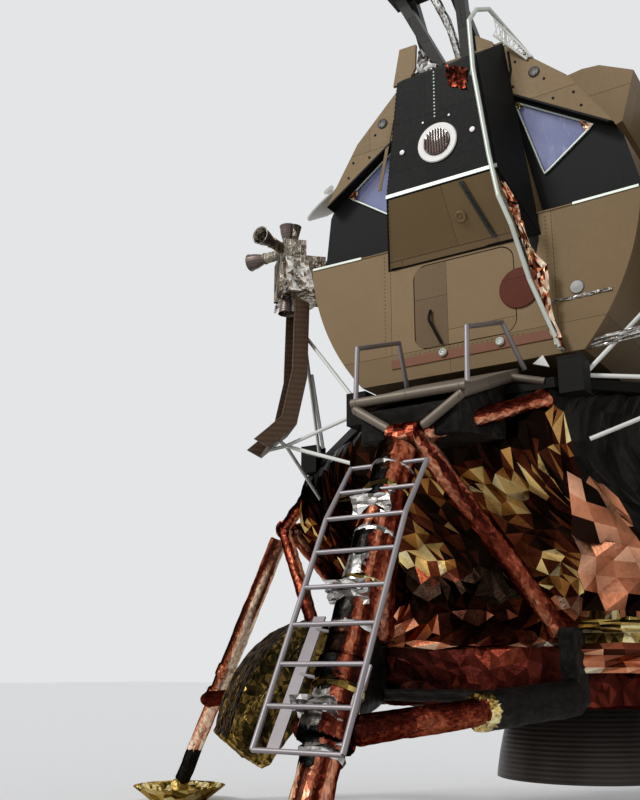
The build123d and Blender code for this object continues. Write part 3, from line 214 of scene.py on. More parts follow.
def crumple(skin, grain, fold, crease, keep, long_shards=False):
    """Turn a mesh into facets of film: grain of the remesh, depth of folds and creases, share kept."""
    if long_shards:
        press(skin)
    modify(skin, "REMESH", mode="VOXEL", voxel_size=grain, adaptivity=0)
    if long_shards:
        press(skin, release=True)
    modify(skin, "DISPLACE", texture=FOLD, strength=fold, mid_level=0.35)
    modify(skin, "DISPLACE", texture=CREASE, strength=crease, mid_level=0.5)
    if long_shards:
        press(skin)
    modify(skin, "DECIMATE", ratio=keep)
    if long_shards:
        press(skin, release=True)
    pick(skin)
    bpy.ops.object.shade_flat()
    print(skin.name, len(skin.data.polygons), "facets")
    return skin


def crumpled(node_name, name, *settings, **more):
    """A film skin in the shape of one CAD part."""
    return crumple(merge_doubles(copy_of(nodes[node_name], name)), *settings, **more)


# %% [markdown]
# Every facet also gets a colour of its own, so neighbouring facets differ. Most of it is a painted
# reflection: facets are ranked by how far they lean down and to the sunny side, with some slow drift from
# place to place and a random share. The low ranks become near black and the highest become gold, a
# painted highlight. The colour is stored on the mesh as an attribute, which the material reads later, so
# it stays on the piece from every side, and it runs a little lighter or darker towards each corner, as a
# reflection does.

# %% Colour the facets
def facet_values(mesh):
    """Centres and normals of a mesh's faces, as arrays."""
    centres = np.zeros(len(mesh.polygons) * 3)
    normals = np.zeros(len(mesh.polygons) * 3)
    mesh.polygons.foreach_get("center", centres)
    mesh.polygons.foreach_get("normal", normals)
    return centres.reshape(-1, 3), normals.reshape(-1, 3)


def drift(places, seed, size):
    """Smooth noise over places, its patches about `size` metres: a sum of slanted waves."""
    rng = np.random.default_rng(seed)
    total = np.zeros(len(places))
    for _ in range(10):
        direction = rng.normal(size=3)
        direction /= np.linalg.norm(direction)
        total += np.sin(places @ direction * (rng.uniform(1.6, 4.0) / size) + rng.uniform(0, 6.283))
    return total / 3.2


def ranks(values):
    """The rank of each value, from 0 for the lowest to 1 for the highest."""
    order = np.empty(len(values))
    order[np.argsort(values)] = np.linspace(0, 1, len(values))
    return order


def sheen_and_tone_of(centres, normals, seed, patch=0.3, chance=0.25, side=(0.45, 0.0), cluster=0.45):
    """The brightness rank of each facet: a painted reflection, brighter where a facet leans down and to the
    sunny side, with drift and random tone.
    """
    # painted reflection: the lean down and to the sunny side sets most of the rank
    lean = -normals[:, 2] * 0.8 + normals[:, 0] * side[0] + normals[:, 1] * side[1]
    dice = np.random.default_rng(seed).normal(size=len(normals)) * chance
    return ranks(lean + drift(centres, seed, patch) * cluster + dice)


def ramp(tone, stops):
    """Colours at each tone, from stops of (tone, red, green, blue)."""
    stops = np.array(stops)
    return np.stack([np.interp(tone, stops[:, 0], stops[:, band]) for band in (1, 2, 3)], axis=1)


def paint_facets(obj, colours, metal=None):
    """Store a colour for each facet, and how metallic it is, on the corners of the mesh."""
    mesh = obj.data
    loops = np.zeros(len(mesh.polygons), int)
    mesh.polygons.foreach_get("loop_total", loops)
    rows = np.ones((len(mesh.polygons), 4))
    rows[:, :3] = colours
    rows = np.repeat(rows, loops, axis=0)
    corner_of = np.zeros(len(mesh.loops), int)
    mesh.loops.foreach_get("vertex_index", corner_of)
    shading = np.random.default_rng(len(corner_of)).uniform(0.45, 1.35, len(mesh.vertices))
    rows[:, :3] = np.clip(rows[:, :3] * shading[corner_of][:, None], 0, 0.96)
    tint = mesh.color_attributes.new("film_tint", "FLOAT_COLOR", "CORNER")
    tint.data.foreach_set("color", rows.ravel())
    shine = mesh.attributes.new("film_shine", "FLOAT", "CORNER")
    values = np.ones(len(mesh.polygons)) if metal is None else metal
    shine.data.foreach_set("value", np.repeat(values, loops))
    return obj


# Low ranks give the near black of a painted reflection, high ranks a painted highlight; between lie the
# films' own colours.
# tone, red, green, blue
AMBER = [(0.0, 0.005, 0.003, 0.002), (0.58, 0.010, 0.005, 0.003), (0.70, 0.045, 0.011, 0.006),
         (0.84, 0.11, 0.024, 0.009), (0.91, 0.42, 0.18, 0.040), (0.96, 0.80, 0.56, 0.20),
         (1.0, 0.95, 0.78, 0.42)]
COPPER = [(0.0, 0.010, 0.005, 0.004), (0.30, 0.035, 0.010, 0.006), (0.52, 0.20, 0.048, 0.022),
          (0.72, 0.52, 0.19, 0.095), (0.88, 0.74, 0.36, 0.21), (1.0, 0.93, 0.66, 0.48)]
ROSE = [(0.0, 0.006, 0.004, 0.003), (0.46, 0.014, 0.006, 0.004), (0.52, 0.38, 0.13, 0.065),
        (0.75, 0.50, 0.19, 0.095), (1.0, 0.70, 0.36, 0.22)]
RED_FILM = [(0.0, 0.012, 0.004, 0.003), (0.35, 0.055, 0.009, 0.006), (0.65, 0.19, 0.035, 0.018),
            (0.85, 0.46, 0.14, 0.07), (1.0, 0.75, 0.36, 0.22)]
GOLD = [(0.0, 0.012, 0.009, 0.004), (0.35, 0.045, 0.030, 0.009), (0.6, 0.24, 0.15, 0.035),
        (0.82, 0.66, 0.46, 0.14), (1.0, 0.95, 0.82, 0.46)]
SILVER = [(0.0, 0.05, 0.045, 0.04), (0.3, 0.22, 0.20, 0.18), (0.6, 0.50, 0.48, 0.45),
          (1.0, 0.92, 0.90, 0.86)]
BLACK = [(0.0, 0.004, 0.004, 0.004), (0.7, 0.010, 0.009, 0.008), (1.0, 0.024, 0.021, 0.018)]
print("film colours ready")


# %% [markdown]
# The stage body is one big blanket. Its amber film is painted mostly near black with a few bright shards:
# the dark is a painted reflection and the bright shards are painted highlights, from the facet ranks.
# Along its foot it is copper. On the front right corner face a black sheet with a curved edge hangs over
# rose-coloured film, and a black band runs along the deck. The equipment bay has to stay clear, because
# the pallet folds into it, so film that bulges into the bay is moved back to its walls.

# %% Stage blanket
BAY_ACROSS = np.array([-1.0, 1.0, 0.0]) * math.sqrt(0.5)
BAY_OUT = np.array([-1.0, -1.0, 0.0]) * math.sqrt(0.5)
BAY_HALF_WIDTH, BAY_HALF_HEIGHT = 0.655, 0.608
BAY_BACK, BAY_MIDDLE = 1.495, 2.072


def clear_bay(skin):
    """Move film that bulges into the equipment bay to its nearest wall, and out of its corners."""
    places = vertex_places(skin.data)
    bay_places = np.stack([places @ BAY_ACROSS, -(places @ BAY_OUT), places[:, 2] - BAY_MIDDLE], axis=1)
    signs = np.where(bay_places < 0, -1, 1) * (1, 0, 1) + (0, 1, 0)
    walls = np.array([BAY_HALF_WIDTH, -BAY_BACK, BAY_HALF_HEIGHT])
    beyond = bay_places * signs - walls
    inside = np.flatnonzero(beyond.max(axis=1) < 0)
    beyond[inside, beyond[inside].argmax(axis=1)] = 0
    corners = 0
    lines = [(one, two) for face in skin.data.polygons
             for one in face.vertices for two in face.vertices if one < two]
    for one, two in lines:
        wall, other = beyond[one].argmax(), beyond[two].argmax()
        if beyond[one][other] < 0 and beyond[two][wall] < 0:
            if beyond[one][other] > beyond[two][wall]:
                beyond[one][other] = 0
            else:
                beyond[two][wall] = 0
            corners += 1
    bay_places = (beyond + walls) * signs
    places = np.outer(bay_places[:, 0], BAY_ACROSS) - np.outer(bay_places[:, 1], BAY_OUT)
    places[:, 2] = bay_places[:, 2] + BAY_MIDDLE
    skin.data.vertices.foreach_set("co", places.ravel())
    skin.data.update()
    print("film moved back:", len(inside), "vertices, and", corners, "more in the corners")


body_film = crumpled("descent_body", "body_film", 0.022, 0.055, 0.060, 0.085, long_shards=True)
clear_bay(body_film)
centres, normals = facet_values(body_film.data)
# painted reflection: the rank turns the amber film near black, with gold shards as painted highlights
tone = sheen_and_tone_of(centres, normals, 4, 0.26, 0.40, cluster=0.55)
colours = ramp(tone, AMBER)
FOOT_TOP, CORNER_LEFT, SHEET_TOP, DECK_BAND, WELL_HALF = 1.76, 0.72, 2.58, 3.0, 0.66
x, y, z = centres.T
foot = z < FOOT_TOP
colours[foot] = ramp(np.clip(tone + 0.10, 0, 1), COPPER)[foot]
front_right = (x > CORNER_LEFT) & (y < -0.5)
colours[front_right] = ramp(tone * 0.8, ROSE)[front_right]
gold_foot = front_right & (z < FOOT_TOP - 0.12)
colours[gold_foot] = ramp(np.clip(tone + 0.25, 0, 1), GOLD)[gold_foot]
sheet_edge = np.maximum(SHEET_TOP - 6.0 * np.clip(x - CORNER_LEFT, 0, 0.4) ** 2, 1.70)
black = (front_right & (z > sheet_edge)) | (z > DECK_BAND)
black |= (np.abs(x) < WELL_HALF) & (np.abs(y) < WELL_HALF)
for hand, low in ((1, 2.2), (-1, 2.5)):
    black |= (x * hand > 1.0) & (y > -0.5) & (z > low)
colours[black] = ramp(tone, BLACK)[black]
paint_facets(body_film, colours, np.where(black, 0.1, 1.0))
dress(body_film, "amber_foil", hides=("descent_body",))
print("stage blanket:", int(black.sum()), "of its facets are black")


# %% [markdown]
# The blanket under the stage and the black sheets of the trusses and the porch are made the same way.

# %% Skirt, trusses and black covers
def wrap_part(node_name, name, slot, stops, seed, grain, fold, crease, keep, lift=0.0, rule=None):
    """A crumpled film over one part, coloured by facet."""
    skin = crumpled(node_name, name, grain, fold, crease, keep)
    if rule:
        rule(skin)
    centres, normals = facet_values(skin.data)
    tone = np.clip(sheen_and_tone_of(centres, normals, seed) + lift, 0, 1)
    paint_facets(skin, ramp(tone, stops), np.full(len(tone), 0.15 if stops is BLACK else 1.0))
    return dress(skin, slot, hides=(node_name,))


def clear_radar(skin):
    """Lift the film off the landing radar, which tilts up to 10 mm below the skirt."""
    places = vertex_places(skin.data)
    radar_x, radar_y, skirt_low = -0.98, 1.35, 1.085
    over = (np.abs(places[:, 0] - radar_x) < 0.42) & (np.abs(places[:, 1] - radar_y) < 0.48)
    places[over & (places[:, 2] < skirt_low), 2] = skirt_low
    skin.data.vertices.foreach_set("co", places.ravel())
    skin.data.update()


wrap_part("base_heat_shield", "skirt_film", "copper_foil", RED_FILM, 7, 0.022, 0.040, 0.034, 0.10, -0.28,
          clear_radar)
wrap_part("downlock_trusses", "truss_film", "black_blanket", BLACK, 9, 0.015, 0.004, 0.012, 0.3)
wrap_part("ascent_base", "cabin_base_film", "black_blanket", BLACK, 10, 0.03, 0.012, 0.02, 0.4)
wrap_part("porch_cover", "porch_cover_film", "black_blanket", BLACK, 11, 0.02, 0.012, 0.016, 0.4)


# %% [markdown]
# A tube's wrap creases along the tube. So on the legs the colour drifts slowly along the tube and
# quickly around it. For each facet we find the nearest centre line, how far along it the facet is, and
# how far round. The noise is then read at a place stretched along that line. Facets that face +X and
# down also rank brighter, a painted reflection.

# %% Streaks along a tube
def turned_copies(lines):
    """The same centre lines for all four legs."""
    every = []
    for quarter in range(4):
        turn = np.array(Matrix.Rotation(quarter * math.pi / 2, 3, "Z"))
        every += [(turn @ np.array(start), turn @ np.array(end)) for start, end in lines]
    return every


def tube_streaks_and_sheen(centres, normals, lines, seed, long=0.55):
    """The brightness rank of each facet on tubes, in streaks that run along them, brighter where a facet
    faces +X and down: a painted reflection.
    """
    best = np.full(len(centres), 1e9)
    stretched = np.zeros_like(centres)
    for start, end in lines:
        length = np.linalg.norm(end - start)
        axis = (end - start) / length
        along = np.clip((centres - start) @ axis, 0, length)
        off = centres - start - along[:, None] * axis
        distance = np.linalg.norm(off, axis=1)
        nearer = distance < best
        best[nearer] = distance[nearer]
        stretched[nearer] = (off * 9 + (along * 0.35 / long)[:, None] * axis + start)[nearer]
    dice = np.random.default_rng(seed).normal(size=len(centres)) * 0.16
    # painted reflection: facets facing +X and down rank brighter
    return ranks(drift(stretched, seed, 0.38) + normals[:, 0] * 0.35 - normals[:, 2] * 0.25 + dice)


OUTRIGGER_LINES = turned_copies([((2.155, hand * 0.615, low), (2.93, hand * 0.07, 2.69))
                                 for hand in (-1, 1) for low in (1.57, 3.03)])
outrigger_film = crumpled("outriggers", "outrigger_film", 0.0145, 0.018, 0.022, 0.20)
centres, normals = facet_values(outrigger_film.data)
paint_facets(outrigger_film, ramp(tube_streaks_and_sheen(centres, normals, OUTRIGGER_LINES, 8), RED_FILM))
dress(outrigger_film, "copper_foil", hides=("outriggers",))


# %% [markdown]
# The legs are banded. Wraps of black, amber and silver film follow each other down the front leg, each
# about 18 cm wide, taped at their edges. The colour of a facet is picked by how far down the leg it is;
# on the front leg the facets that face +X are red film instead, a painted reflection.

# %% Banded wraps on the legs
LEG_TOP, BAND_WIDTH = 2.62, 0.175
FRONT_BANDS = [AMBER, BLACK, COPPER, BLACK, SILVER, BLACK, AMBER, BLACK, SILVER, BLACK, COPPER, BLACK,
               BLACK, AMBER]
PLAIN_BANDS = [COPPER] * 12 + [BLACK, BLACK]
LEG_LINES = turned_copies([((3.04, 0, 2.59), (4.25, 0, 0.15))])

for seed, side in enumerate(("front", "left", "rear", "right")):
    leg_film = crumpled(f"primary_strut_{side}", f"leg_film_{side}", 0.0125, 0.009, 0.012, 0.26)
    centres, normals = facet_values(leg_film.data)
    tone = tube_streaks_and_sheen(centres, normals, LEG_LINES, 20 + seed)
    bands = FRONT_BANDS if side == "front" else PLAIN_BANDS
    band = np.clip(((LEG_TOP - centres[:, 2]) / BAND_WIDTH).astype(int), 0, len(bands) - 1)
    colours = np.zeros((len(centres), 3))
    for index, film in enumerate(bands):
        chosen = band == index
        lift = 0.18 if film is COPPER else 0.0
        colours[chosen] = ramp(np.clip(tone + lift, 0, 1), film)[chosen]
    if side == "front":
        # painted reflection: front-leg facets that face +X are painted red film
        red = normals[:, 0] > 0.35
        colours[red] = ramp(tone, RED_FILM)[red]
    paint_facets(leg_film, colours)
    dress(leg_film, "strut_foil", hides=(f"primary_strut_{side}",))
print("four legs wrapped")


# %% [markdown]
# A lower brace is two tubes, one sliding in the other. The thick sleeve is black, and its end has a
# gold cap. The colour again follows the place: how far out from the centre line the facet is.

# %% Lower braces
brace_film = crumpled("secondary_struts", "brace_film", 0.0125, 0.006, 0.010, 0.30)
centres, normals = facet_values(brace_film.data)
tone = sheen_and_tone_of(centres, normals, 31, 0.15)
colours = ramp(tone, BLACK)
out = np.maximum(np.abs(centres[:, 0]), np.abs(centres[:, 1]))
SLEEVE_END = 3.02
gold_cap = (out > SLEEVE_END - 0.07) & (out < SLEEVE_END)
colours[gold_cap] = ramp(np.clip(tone + 0.1, 0, 1), GOLD)[gold_cap]
outer_rod = out > SLEEVE_END
colours[outer_rod] = ramp(tone * 0.8, RED_FILM)[outer_rod]
paint_facets(brace_film, colours, np.where(gold_cap | outer_rod, 1.0, 0.2))
dress(brace_film, "black_blanket", hides=("secondary_struts",))


# %% [markdown]
# The equipment pallet folds down from a bay on its two hinges. Its two flanks are almost black, and a
# loose gold blanket is bunched over the load between them. It rides on a body of its own, so the
# blanket turns with it when the pallet folds.

# %% Pallet blanket
pallet_film = crumpled("equipment_pallet", "pallet_film", 0.016, 0.010, 0.022, 0.20)
centres, normals = facet_values(pallet_film.data)
tone = sheen_and_tone_of(centres, normals, 41, 0.12, 0.4)
colours = ramp(tone, GOLD)
board = np.abs(normals @ np.array([-0.7071, 0.7071, 0.0])) > 0.55
colours[board] = ramp(np.clip(tone - 0.33, 0, 1), GOLD)[board]
paint_facets(pallet_film, colours)
dress(pallet_film, "gold_foil", body="equipment_pallet", hides=("equipment_pallet",))
print("pallet:", int(board.sum()), "board facets")


# %% [markdown]
# ## Shapes for the fittings
# Four helpers make most of the small pieces. A plate is a circle primitive with as many corners as its
# outline, each corner dragged to its place, then thickened and bevelled. A rod is a curve with a round
# bevel, turned into a mesh. A turned part is a closed outline spun about an axis. A rivet is a sphere
# with its lower half cut away, copied along a line.

# %% Plates, rods, turned parts, rivets
AHEAD = (0, -1, 0)
MIDDLE = 0.0005


def plate(name, outline, thickness=0.006, bevel=0.0015, outward=AHEAD):
    """A flat plate from its corner places; it grows by its thickness towards `outward`."""
    bpy.ops.object.select_all(action="DESELECT")
    bpy.ops.mesh.primitive_circle_add(vertices=len(outline), fill_type="NGON")
    made = pick(bpy.context.object)
    made.name = made.data.name = name
    for vertex, place in zip(made.data.vertices, outline):
        vertex.co = place
    made.data.update()
    if made.data.polygons[0].normal.dot(Vector(outward)) < 0:
        bpy.ops.object.mode_set(mode="EDIT")
        bpy.ops.mesh.select_all(action="SELECT")
        bpy.ops.mesh.flip_normals()
        bpy.ops.object.mode_set(mode="OBJECT")
    modify(made, "SOLIDIFY", thickness=thickness, offset=1.0)
    if bevel:
        modify(made, "BEVEL", width=bevel, segments=2, limit_method="ANGLE")
    return made


def rod(name, places, radius, smooth=False, sides=2):
    """A round rod along places; smooth makes one NURBS curve of them."""
    data = bpy.data.curves.new(name, "CURVE")
    data.dimensions = "3D"
    spline = data.splines.new("NURBS" if smooth else "POLY")
    spline.points.add(len(places) - 1)
    for point, place in zip(spline.points, places):
        point.co = (*place, 1)
    if smooth:
        spline.order_u = 3
        spline.use_endpoint_u = True
        spline.resolution_u = 8
    data.bevel_depth = radius
    data.bevel_resolution = sides
    data.use_fill_caps = True
    made = bpy.data.objects.new(name, data)
    bpy.context.scene.collection.objects.link(made)
    pick(made)
    bpy.ops.object.convert(target="MESH")
    made = bpy.context.object
    made.name = made.data.name = name
    merge_doubles(made, 0.0002)
    bpy.ops.object.shade_smooth_by_angle(angle=math.radians(40))
    return made


def turned(name, outline, place, axis, steps=32, soft=35):
    """A closed outline of (radius, height) spun about an axis; edges under `soft` degrees are smooth."""
    bpy.ops.object.select_all(action="DESELECT")
    bpy.ops.mesh.primitive_circle_add(vertices=len(outline), fill_type="NOTHING")
    made = pick(bpy.context.object)
    made.name = made.data.name = name
    for vertex, (radius, height) in zip(made.data.vertices, outline):
        vertex.co = (radius, 0, height)
    bpy.ops.object.mode_set(mode="EDIT")
    bpy.ops.mesh.select_all(action="SELECT")
    bpy.ops.mesh.spin(steps=steps, angle=2 * math.pi, center=(0, 0, 0), axis=(0, 0, 1))
    bpy.ops.mesh.select_all(action="SELECT")
    bpy.ops.mesh.remove_doubles(threshold=0.0002)
    bpy.ops.mesh.normals_make_consistent(inside=False)
    bpy.ops.object.mode_set(mode="OBJECT")
    bpy.ops.object.shade_smooth_by_angle(angle=math.radians(soft))
    turn = Vector(axis).to_track_quat("Z", "Y").to_matrix().to_4x4()
    made.data.transform(Matrix.Translation(place) @ turn)
    return made


def disc(name, rim, top, place, axis=AHEAD, steps=24, soft=35):
    """A turned part that is solid to its middle, from the (radius, height) points of its rim."""
    return turned(name, [(MIDDLE, 0), *rim, (MIDDLE, top)], place, axis, steps, soft)


def rivet_row(name, start, end, count, radius=0.006, outward=AHEAD):
    """Domed rivet heads along a line."""
    bpy.ops.object.select_all(action="DESELECT")
    bpy.ops.mesh.primitive_uv_sphere_add(segments=8, ring_count=6, radius=radius)
    head = pick(bpy.context.object)
    bpy.ops.object.mode_set(mode="EDIT")
    bpy.ops.mesh.select_all(action="SELECT")
    bpy.ops.mesh.bisect(plane_co=(0, 0, 0), plane_no=(0, 0, 1), use_fill=True, clear_inner=True)
    bpy.ops.object.mode_set(mode="OBJECT")
    head.data.transform(Matrix.Diagonal((1, 1, 0.6, 1)))
    turn = Vector(outward).to_track_quat("Z", "Y").to_matrix().to_4x4()
    heads = []
    for index in range(count):
        place = Vector(start).lerp(Vector(end), index / max(1, count - 1))
        twin = copy_of(head, name)
        twin.data.transform(Matrix.Translation(place) @ turn)
        heads.append(twin)
    bpy.data.objects.remove(head)
    return join(heads, name)


FRONT_Y = -1.981


def on_front(x, z, y=FRONT_Y):
    """A place on the cabin's front wall."""
    return (x, y, z)


def on_wall(points, hand=1, y=FRONT_Y):
    """Places on the front wall from (x, z) points; hand -1 mirrors them to the left."""
    return [on_front(hand * x, z, y) for x, z in points]


print("shape helpers ready")


# %% [markdown]
# ## The black front panel
# Between the windows stands a black panel with a docking light in a white ring, a bright strip along
# its lower edge, a dotted seam, and a few knobs. The ring is a turned flat washer; the lens inside it
# is brown glass, moulded in ribs, which are one rounded bar copied side by side.

# %% Light ring and ribbed lens
PANEL_Y = -2.31
LIGHT = Vector((-0.006, PANEL_Y, 5.062))
RING_OUTLINE = [(0.108, 0.0), (0.155, 0.0), (0.160, 0.008), (0.154, 0.016), (0.110, 0.016), (0.103, 0.008)]
dress(turned("light_ring", RING_OUTLINE, LIGHT, AHEAD, 48), "white_paint")

RIB_REACH, RIB_STEP = 0.097, 0.022
ribs = [disc("lens_disc", [(0.103, 0.0), (0.103, 0.030)], 0.036, LIGHT, AHEAD, 40)]
for index in range(-4, 5):
    reach = math.sqrt(RIB_REACH ** 2 - (index * RIB_STEP) ** 2)
    foot = LIGHT + Vector((index * RIB_STEP, -0.034, -reach))
    bow = [foot, foot + Vector((0, -0.004, reach)), foot + Vector((0, 0, 2 * reach))]
    ribs.append(rod("lens_rib", bow, 0.008))
dress(join(ribs, "light_lens"), "dark_metal", hides=("tracking_light",))


# %% [markdown]
# A dotted seam runs down the panel above the light: a row of rivet heads. The knobs are discs whose
# outline scales with their radius, so one line makes all four. A bright strip closes the panel below.

# %% Edge strip, seam and knobs
PANEL_FACE = -2.311
strip_corners = on_wall(((-0.449, 4.722), (0.447, 4.722), (0.446, 4.752), (-0.448, 4.752)), 1, PANEL_FACE)
dress(plate("panel_edge_strip", strip_corners), "pale_rail")
seam_high, seam_low = on_wall(((-0.019, 5.67), (-0.023, 5.29)), 1, PANEL_FACE)
dress(rivet_row("panel_seam_dots", seam_high, seam_low, 14, 0.008), "pale_rail")
for number, (x, z, size) in enumerate(((0.275, 5.078, 0.023), (-0.300, 5.071, 0.022),
                                       (0.094, 5.261, 0.010), (-0.121, 5.267, 0.009))):
    knob = disc(f"panel_knob_{number}", [(size, 0), (size, size * 0.25), (size * 0.86, size * 0.42)],
                size * 0.46, (x, PANEL_FACE, z), AHEAD, 24, 18)
    dress(knob, "bare_tube")
for number, hand in enumerate((-1, 1)):
    low, high = on_wall(((0.441, 4.76), (0.333, 5.66)), hand, PANEL_FACE)
    dress(rivet_row(f"panel_side_dots_{number}", low, high, 26, 0.006), "black_panel")
print("front panel fittings done")


# %% [markdown]
# Near the top of the panel a patch of its dark red cover is torn. It is film again, so we start from a
# small grid, crumple it, and keep only a few facets.

# %% A patch of crumpled film
def film_patch(name, corners, stops, seed, depth=0.02, cuts=14, keep=0.5, thickness=0.004, lift=0.0,
               ragged=0.0):
    """A crumpled sheet between four corners, given in order round the patch."""
    bpy.ops.object.select_all(action="DESELECT")
    bpy.ops.mesh.primitive_grid_add(x_subdivisions=cuts, y_subdivisions=cuts, size=2)
    made = pick(bpy.context.object)
    made.name = made.data.name = name
    first, second, third, fourth = (Vector(corner) for corner in corners)
    normal = (second - first).cross(fourth - first).normalized()
    if normal.y > 0.2 or (abs(normal.y) < 0.2 and normal.z < 0):
        normal = -normal
    rng = np.random.default_rng(seed)
    for vertex in made.data.vertices:
        u, v = (vertex.co.x + 1) / 2, (vertex.co.y + 1) / 2
        if ragged and min(u, v, 1 - u, 1 - v) < 0.001:
            u = min(max(u, 0), 1) + rng.uniform(-ragged, ragged)
            v = min(max(v, 0), 1) + rng.uniform(-ragged, ragged)
        place = first.lerp(second, u).lerp(fourth.lerp(third, u), v)
        vertex.co = place + normal * (rng.uniform(0, depth) + 0.002)
    made.data.update()
    modify(made, "DECIMATE", ratio=keep)
    modify(made, "SOLIDIFY", thickness=thickness, offset=0)
    pick(made)
    bpy.ops.object.shade_flat()
    centres, normals = facet_values(made.data)
    paint_facets(made, ramp(np.clip(sheen_and_tone_of(centres, normals, seed, 0.08, 0.5) + lift, 0, 1), stops))
    return made


torn_corners = on_wall(((0.075, 5.69), (0.25, 5.60), (0.25, 5.42), (0.11, 5.50)), 1, PANEL_FACE - 0.001)
torn = film_patch("torn_patch", torn_corners, RED_FILM, 50, 0.016, 9, 0.7, 0.003, -0.22, 0.09)
dress(torn, "copper_foil")


# %% [markdown]
# The tan chin under the panel is a sheet of its own, laid on the slope. On it sit a long slotted
# bracket and a small ring fitting. A black cable runs along the chin's foot.

# %% Chin
CHIN_OUT = (0, -0.8, -0.6)
TOP_Y, TOP_Z, FOOT_Y, FOOT_Z = -2.300, 4.714, -1.992, 4.303
chin_corners = [(-0.430, TOP_Y, TOP_Z), (0.430, TOP_Y, TOP_Z),
                (0.470, FOOT_Y, FOOT_Z), (-0.592, FOOT_Y, FOOT_Z)]
dress(plate("chin_panel", chin_corners, 0.006, 0.001, CHIN_OUT), "tan_panel")
side_corners = [(0.432, -2.301, 4.714), (0.606, -1.990, 4.300), (0.472, -1.990, 4.300)]
dress(plate("chin_side_sheet", side_corners, 0.005, 0.001, CHIN_OUT), "black_panel")


def on_chin(x, down, lift=0.008):
    """A place on the chin: x across, `down` from 0 at its top edge to 1 at its foot."""
    high, low = Vector((x, TOP_Y, TOP_Z)), Vector((x, FOOT_Y, FOOT_Z))
    return high.lerp(low, down) + Vector(CHIN_OUT) * lift


bracket_corners = [on_chin(0.142, 0.02), on_chin(0.180, 0.02), on_chin(0.308, 0.90), on_chin(0.272, 0.90)]
bracket = plate("chin_bracket", bracket_corners, 0.012, 0.002, CHIN_OUT)
slot_rod = rod("chin_slot", [on_chin(0.163, 0.06, 0.026), on_chin(0.288, 0.86, 0.026)], 0.006)
dress(join([bracket, slot_rod], "chin_bracket"), "dark_metal")
RING_SECTION = [(0.020, 0), (0.046, 0), (0.046, 0.010), (0.038, 0.016), (0.020, 0.012)]
fixture = turned("chin_ring", RING_SECTION, on_chin(0.085, 0.50), CHIN_OUT, 24)
stud = disc("chin_stud", [(0.018, 0), (0.016, 0.012)], 0.014, on_chin(0.085, 0.50), CHIN_OUT, 16)
dress(join([fixture, stud], "chin_ring"), "tan_panel")
cable_route = [(-0.58, -1.99, 4.305), (-0.17, -1.992, 4.322), (0.08, -1.992, 4.316), (0.38, -1.990, 4.300),
               (0.58, -1.99, 4.312)]
dress(rod("chin_cable", cable_route, 0.011, True), "black_panel")
for side, high_x, low_x in (("left", -0.44, -0.575), ("right", 0.418, 0.452)):
    dots = rivet_row(f"chin_dots_{side}", on_chin(high_x, 0.06), on_chin(low_x, 0.95), 16, 0.006, CHIN_OUT)
    dress(dots, "tan_panel")
print("chin done")


# %% [markdown]
# ## Windows
# Each window is a triangle of coated glass, seen through a black recess that kills glare. Its frame is
# a thin rounded rim. Scraps of orange film show at two of its corners, and a bright strip caps the sill.

# %% Window rims, corner scraps, recess and sill strips
def window_y(z):
    """How far forward the window plane is at a height."""
    return -1.92 + (5.44 - z) * 0.13


WINDOW_CORNERS = ((0.465, 5.446), (1.028, 5.091), (0.632, 4.825))
WINDOW_STRIPS = (
    ("sill_strip", ((0.86, 4.455), (1.322, 4.462), (1.322, 4.482), (0.86, 4.474)), 0.007, "pale_rail"),
    ("sill_thin", ((0.60, 4.455), (0.86, 4.457), (0.86, 4.468), (0.60, 4.464)), 0.006, "tan_panel"),
    ("brow_edge", ((0.43, 5.500), (1.16, 5.010), (1.165, 5.026), (0.432, 5.518)), 0.008, "black_panel"))
for side, hand in (("right", 1), ("left", -1)):
    corners = [Vector((hand * x, window_y(z) - 0.012, z)) for x, z in WINDOW_CORNERS]
    middle = sum(corners, Vector()) / 3
    loop = []
    for index, corner in enumerate(corners):
        before, after = corners[index - 1], corners[(index + 1) % 3]
        loop += [corner.lerp(before, 0.08), corner.lerp(middle, 0.02), corner.lerp(after, 0.08)]
    loop = loop[1:] + loop[:2]
    dress(rod(f"window_rim_{side}", loop, 0.008), "pale_rail")
    top, outer, low = corners
    top_scrap = [top, top.lerp(outer, 0.10), top.lerp(middle, 0.22), top.lerp(low, 0.10)]
    outer_scrap = [outer, outer.lerp(low, 0.14), outer.lerp(middle, 0.26), outer.lerp(top, 0.16)]
    gold_scrap = film_patch(f"window_scrap_top_{side}", top_scrap, GOLD, 61, 0.008, 4, 1.0, 0.002, 0.15)
    red_scrap = film_patch(f"window_scrap_outer_{side}", outer_scrap, COPPER, 62, 0.010, 4, 1.0, 0.002, 0.2)
    dress(gold_scrap, "gold_foil")
    dress(red_scrap, "copper_foil")
    for name, points, thickness, slot in WINDOW_STRIPS:
        dress(plate(f"{name}_{side}", on_wall(points, hand), thickness), slot)
print("windows done")


# %% [markdown]
# The brow above the windows is a plain sheet with a round cap, a few screws and a black seam where it
# meets the cheek. Screws and seams are small, but a big plain plate looks like a toy without them.

# %% Brow details
CAP_RIM = [(0.043, 0), (0.043, 0.006), (0.034, 0.011), (0.012, 0.007)]
SCREW_PLACES = ((0.506, 5.755), (0.478, 5.547), (0.777, 5.344), (0.977, 5.215), (0.72, 5.53), (0.93, 5.34))
SEAM_PLACES = ((0.455, 5.86), (0.470, 5.70), (0.440, 5.535))
for side, hand in (("right", 1), ("left", -1)):
    dress(disc(f"brow_cap_{side}", CAP_RIM, 0.007, on_front(hand * 0.648, 5.613), AHEAD, 28), "dark_metal")
    for number, place in enumerate(on_wall(SCREW_PLACES, hand)):
        screw = disc(f"brow_screw_{side}_{number}", [(0.011, 0), (0.009, 0.005)], 0.006, place, AHEAD, 10)
        dress(screw, "black_panel")
    dress(rod(f"brow_seam_{side}", on_wall(SEAM_PLACES, hand, -1.984), 0.009), "black_panel")
print("brow done")


# %% [markdown]
# ## Around the hatch
# The hatch sits in a darker field. On it are a round dark red cover and a few screws; to its right is
# a grey disc and a rough bright seam. Along the wall's foot runs a brown strip with chromed buttons.

